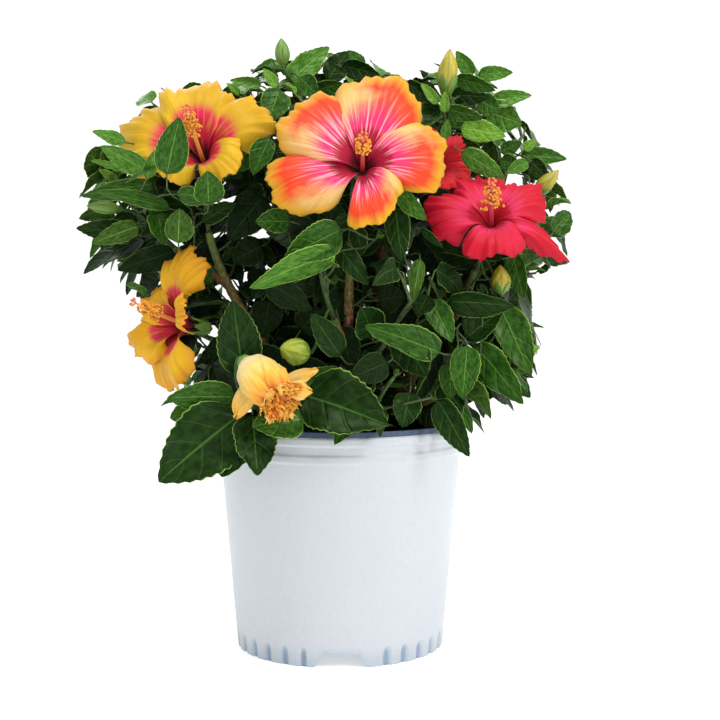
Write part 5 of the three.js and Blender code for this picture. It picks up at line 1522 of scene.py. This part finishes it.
def leaf_material(name, roughness, gloss, low, high, vein, rim, relief):
    """Leaf skin on the leaf's own map: a mottled blade, the midrib, slanting side veins and the rim."""
    material, tree, shader = new_material(
        name, Roughness=roughness, Specular_IOR_Level=gloss, Specular_Tint=linear("#d0e8b4")
    )
    uv_map, across, along = own_map(tree)
    centred = add_node(tree, "Math", {0: across, 1: 0.5}, operation="SUBTRACT")
    aside = add_node(tree, "Math", {0: centred}, operation="ABSOLUTE")
    slant = add_node(tree, "Math", {0: aside, 1: -2.4}, operation="MULTIPLY")
    steps = add_node(tree, "Math", {0: along, 1: 4.4, 2: slant}, operation="MULTIPLY_ADD")
    saw = add_node(tree, "Math", {0: steps, 1: 0.5}, operation="PINGPONG")
    blotch = add_node(tree, "TexNoise", {"Vector": uv_map, "Scale": 9.0, "Detail": 7.0})
    lamina = add_node(tree, "ValToRGB", {"Fac": blotch}, [(0.4, low), (0.62, high)])
    lateral = add_node(tree, "MapRange", {"Value": saw, "From Min": 0.04, "From Max": 0.0, "To Max": 0.42})
    midrib = add_node(tree, "MapRange", {"Value": aside, "From Min": 0.024, "From Max": 0.006})
    veins = add_node(tree, "Math", {0: lateral, 1: midrib}, operation="MAXIMUM")
    veined = add_node(tree, "Mix", {0: veins, 6: lamina, 7: linear(vein)}, data_type="RGBA")
    margin = add_node(tree, "MapRange", {"Value": aside, "From Min": 0.478, "From Max": 0.49})
    edged = add_node(tree, "Mix", {0: margin, 6: veined, 7: linear(rim)}, data_type="RGBA")
    quilt = add_node(tree, "MapRange", {"Value": saw, "From Max": 0.16}, interpolation_type="SMOOTHSTEP")
    cover(shader, edged, quilt, relief, 0.0012)
    return material


# The upper skin is waxed and glossy and mirrors the sky in soft patches between the sunk veins. Its colour
# is painted light and shade, in copies of one skin from a painted near black deep in the shade through painted
# shade, half light and light, and the yellow green of a young leaf, given to young leaves in the light. The
# underside has no wax and is matt and paler, with the veins standing out.
leaf_skins = [
    leaf_material("leaf_waxed_painted_deep_shade", 0.46, 0.16, "#081505", "#0e220a", "#213a16", "#40602a", 0.5),
    leaf_material("leaf_waxed_painted_shade", 0.4, 0.18, "#0b1e05", "#16320b", "#395a20", "#75943e", 0.55),
    leaf_material("leaf_waxed_painted_half_light", 0.32, 0.2, "#1d3b0e", "#315a18", "#5a7e30", "#90ae4a", 0.55),
    leaf_material("leaf_waxed_painted_light", 0.32, 0.2, "#345a1c", "#4d7c2a", "#74983e", "#a2bc54", 0.55),
    leaf_material("leaf_waxed_young", 0.34, 0.2, "#48701f", "#66922f", "#8cac48", "#aec860", 0.45),
    leaf_material("leaf_matt_underside", 0.62, 0.12, "#2c4818", "#446426", "#7a984a", "#8eac4a", 0.6),
]
UNDERSIDE = 5
YOUNG = 4
# Young bark is smooth, green and hardly shiny, with brown specks.
specks = [(0.35, "#302c14"), (0.55, "#36501c"), (0.7, "#527028")]
twig_bark = mottled("twig_green_bark", 300.0, specks, 4.0, Roughness=0.6)

blades, twig_pile = {}, Pile()
for (index, points, thick, thin, parent, _), share in zip(twigs, used):
    if share > 0:
        if thick > 2:
            share = max(share, held.get(MASSES[index][0], 0))
        fine = along_twig(points, np.linspace(0, min(share + 0.02, 1), 9))
        twig_pile.loft(tube_rings(fine, np.linspace(thick, thin, 9), 7))
for number, leaf in enumerate(leaves):
    across = LEAF_FINE if leaf["lip"] else LEAF_ACROSS
    rows = FULL_ROWS if leaf["length"] > LONG_LEAF else FEW_ROWS
    grid, normal = leaf_grid(leaf, rows, across)
    share = np.linspace(0, 1, rows)
    midrib = (across == 0) * mix(1.3, 0.4, share)[:, None]
    under = np.interp(np.abs(across), [0, 0.5, 1], [0, 0.32, 0.1]) + midrib
    sheet = two_sided(grid, under[..., None], -normal[:, None])
    u = 0.5 + 0.5 * np.concatenate([across, across[::-1]])
    middle = leaf["foot"] + leaf["direction"] * leaf["length"] / 2
    # Painted light and shade: a leaf's skin is darker the deeper it sits in the crown and the lower it hangs,
    # and lighter further out and higher up, with some at random.
    outer = (((middle - CROWN_MIDDLE) / (225, 185, 185)) ** 2).sum()
    painted_light_draw = 0.5 * chance(number, 31) + 0.75 * outer - 0.3 + (middle[2] - 400) / 600
    tone = sum(painted_light_draw >= step for step in PAINTED_LIGHT_STEPS)
    tone = leaf.get("tone", YOUNG if leaf["young"] and painted_light_draw > PAINTED_LIGHT_STEPS[1] else tone)
    below = YOUNG if leaf["lip"] else UNDERSIDE
    finish = [tone] * len(across) + [below] * (len(across) - 1) + [tone]
    group = MASSES[leaf["mass"]][3]
    pile = blades.setdefault(group, Pile())
    pile.loft(sheet, finish, uv_grid(u, share ** 0.92))
    stalk = curve_points(leaf["root"], leaf["stalk"], grid[0, len(across) // 2], leaf["direction"], 5)
    twig_pile.loft(tube_rings(stalk, np.linspace(0.95, 0.75, 6), 5))
twig_pile.piece("twigs_and_leaf_stalks", [twig_bark], "bark")
for group, pile in blades.items():
    replaced = [f"foliage_{name}" for name, _, _, stem, _ in MASSES if stem == group]
    pile.piece(f"leaves_of_{group}", leaf_skins, "foliage", *replaced)
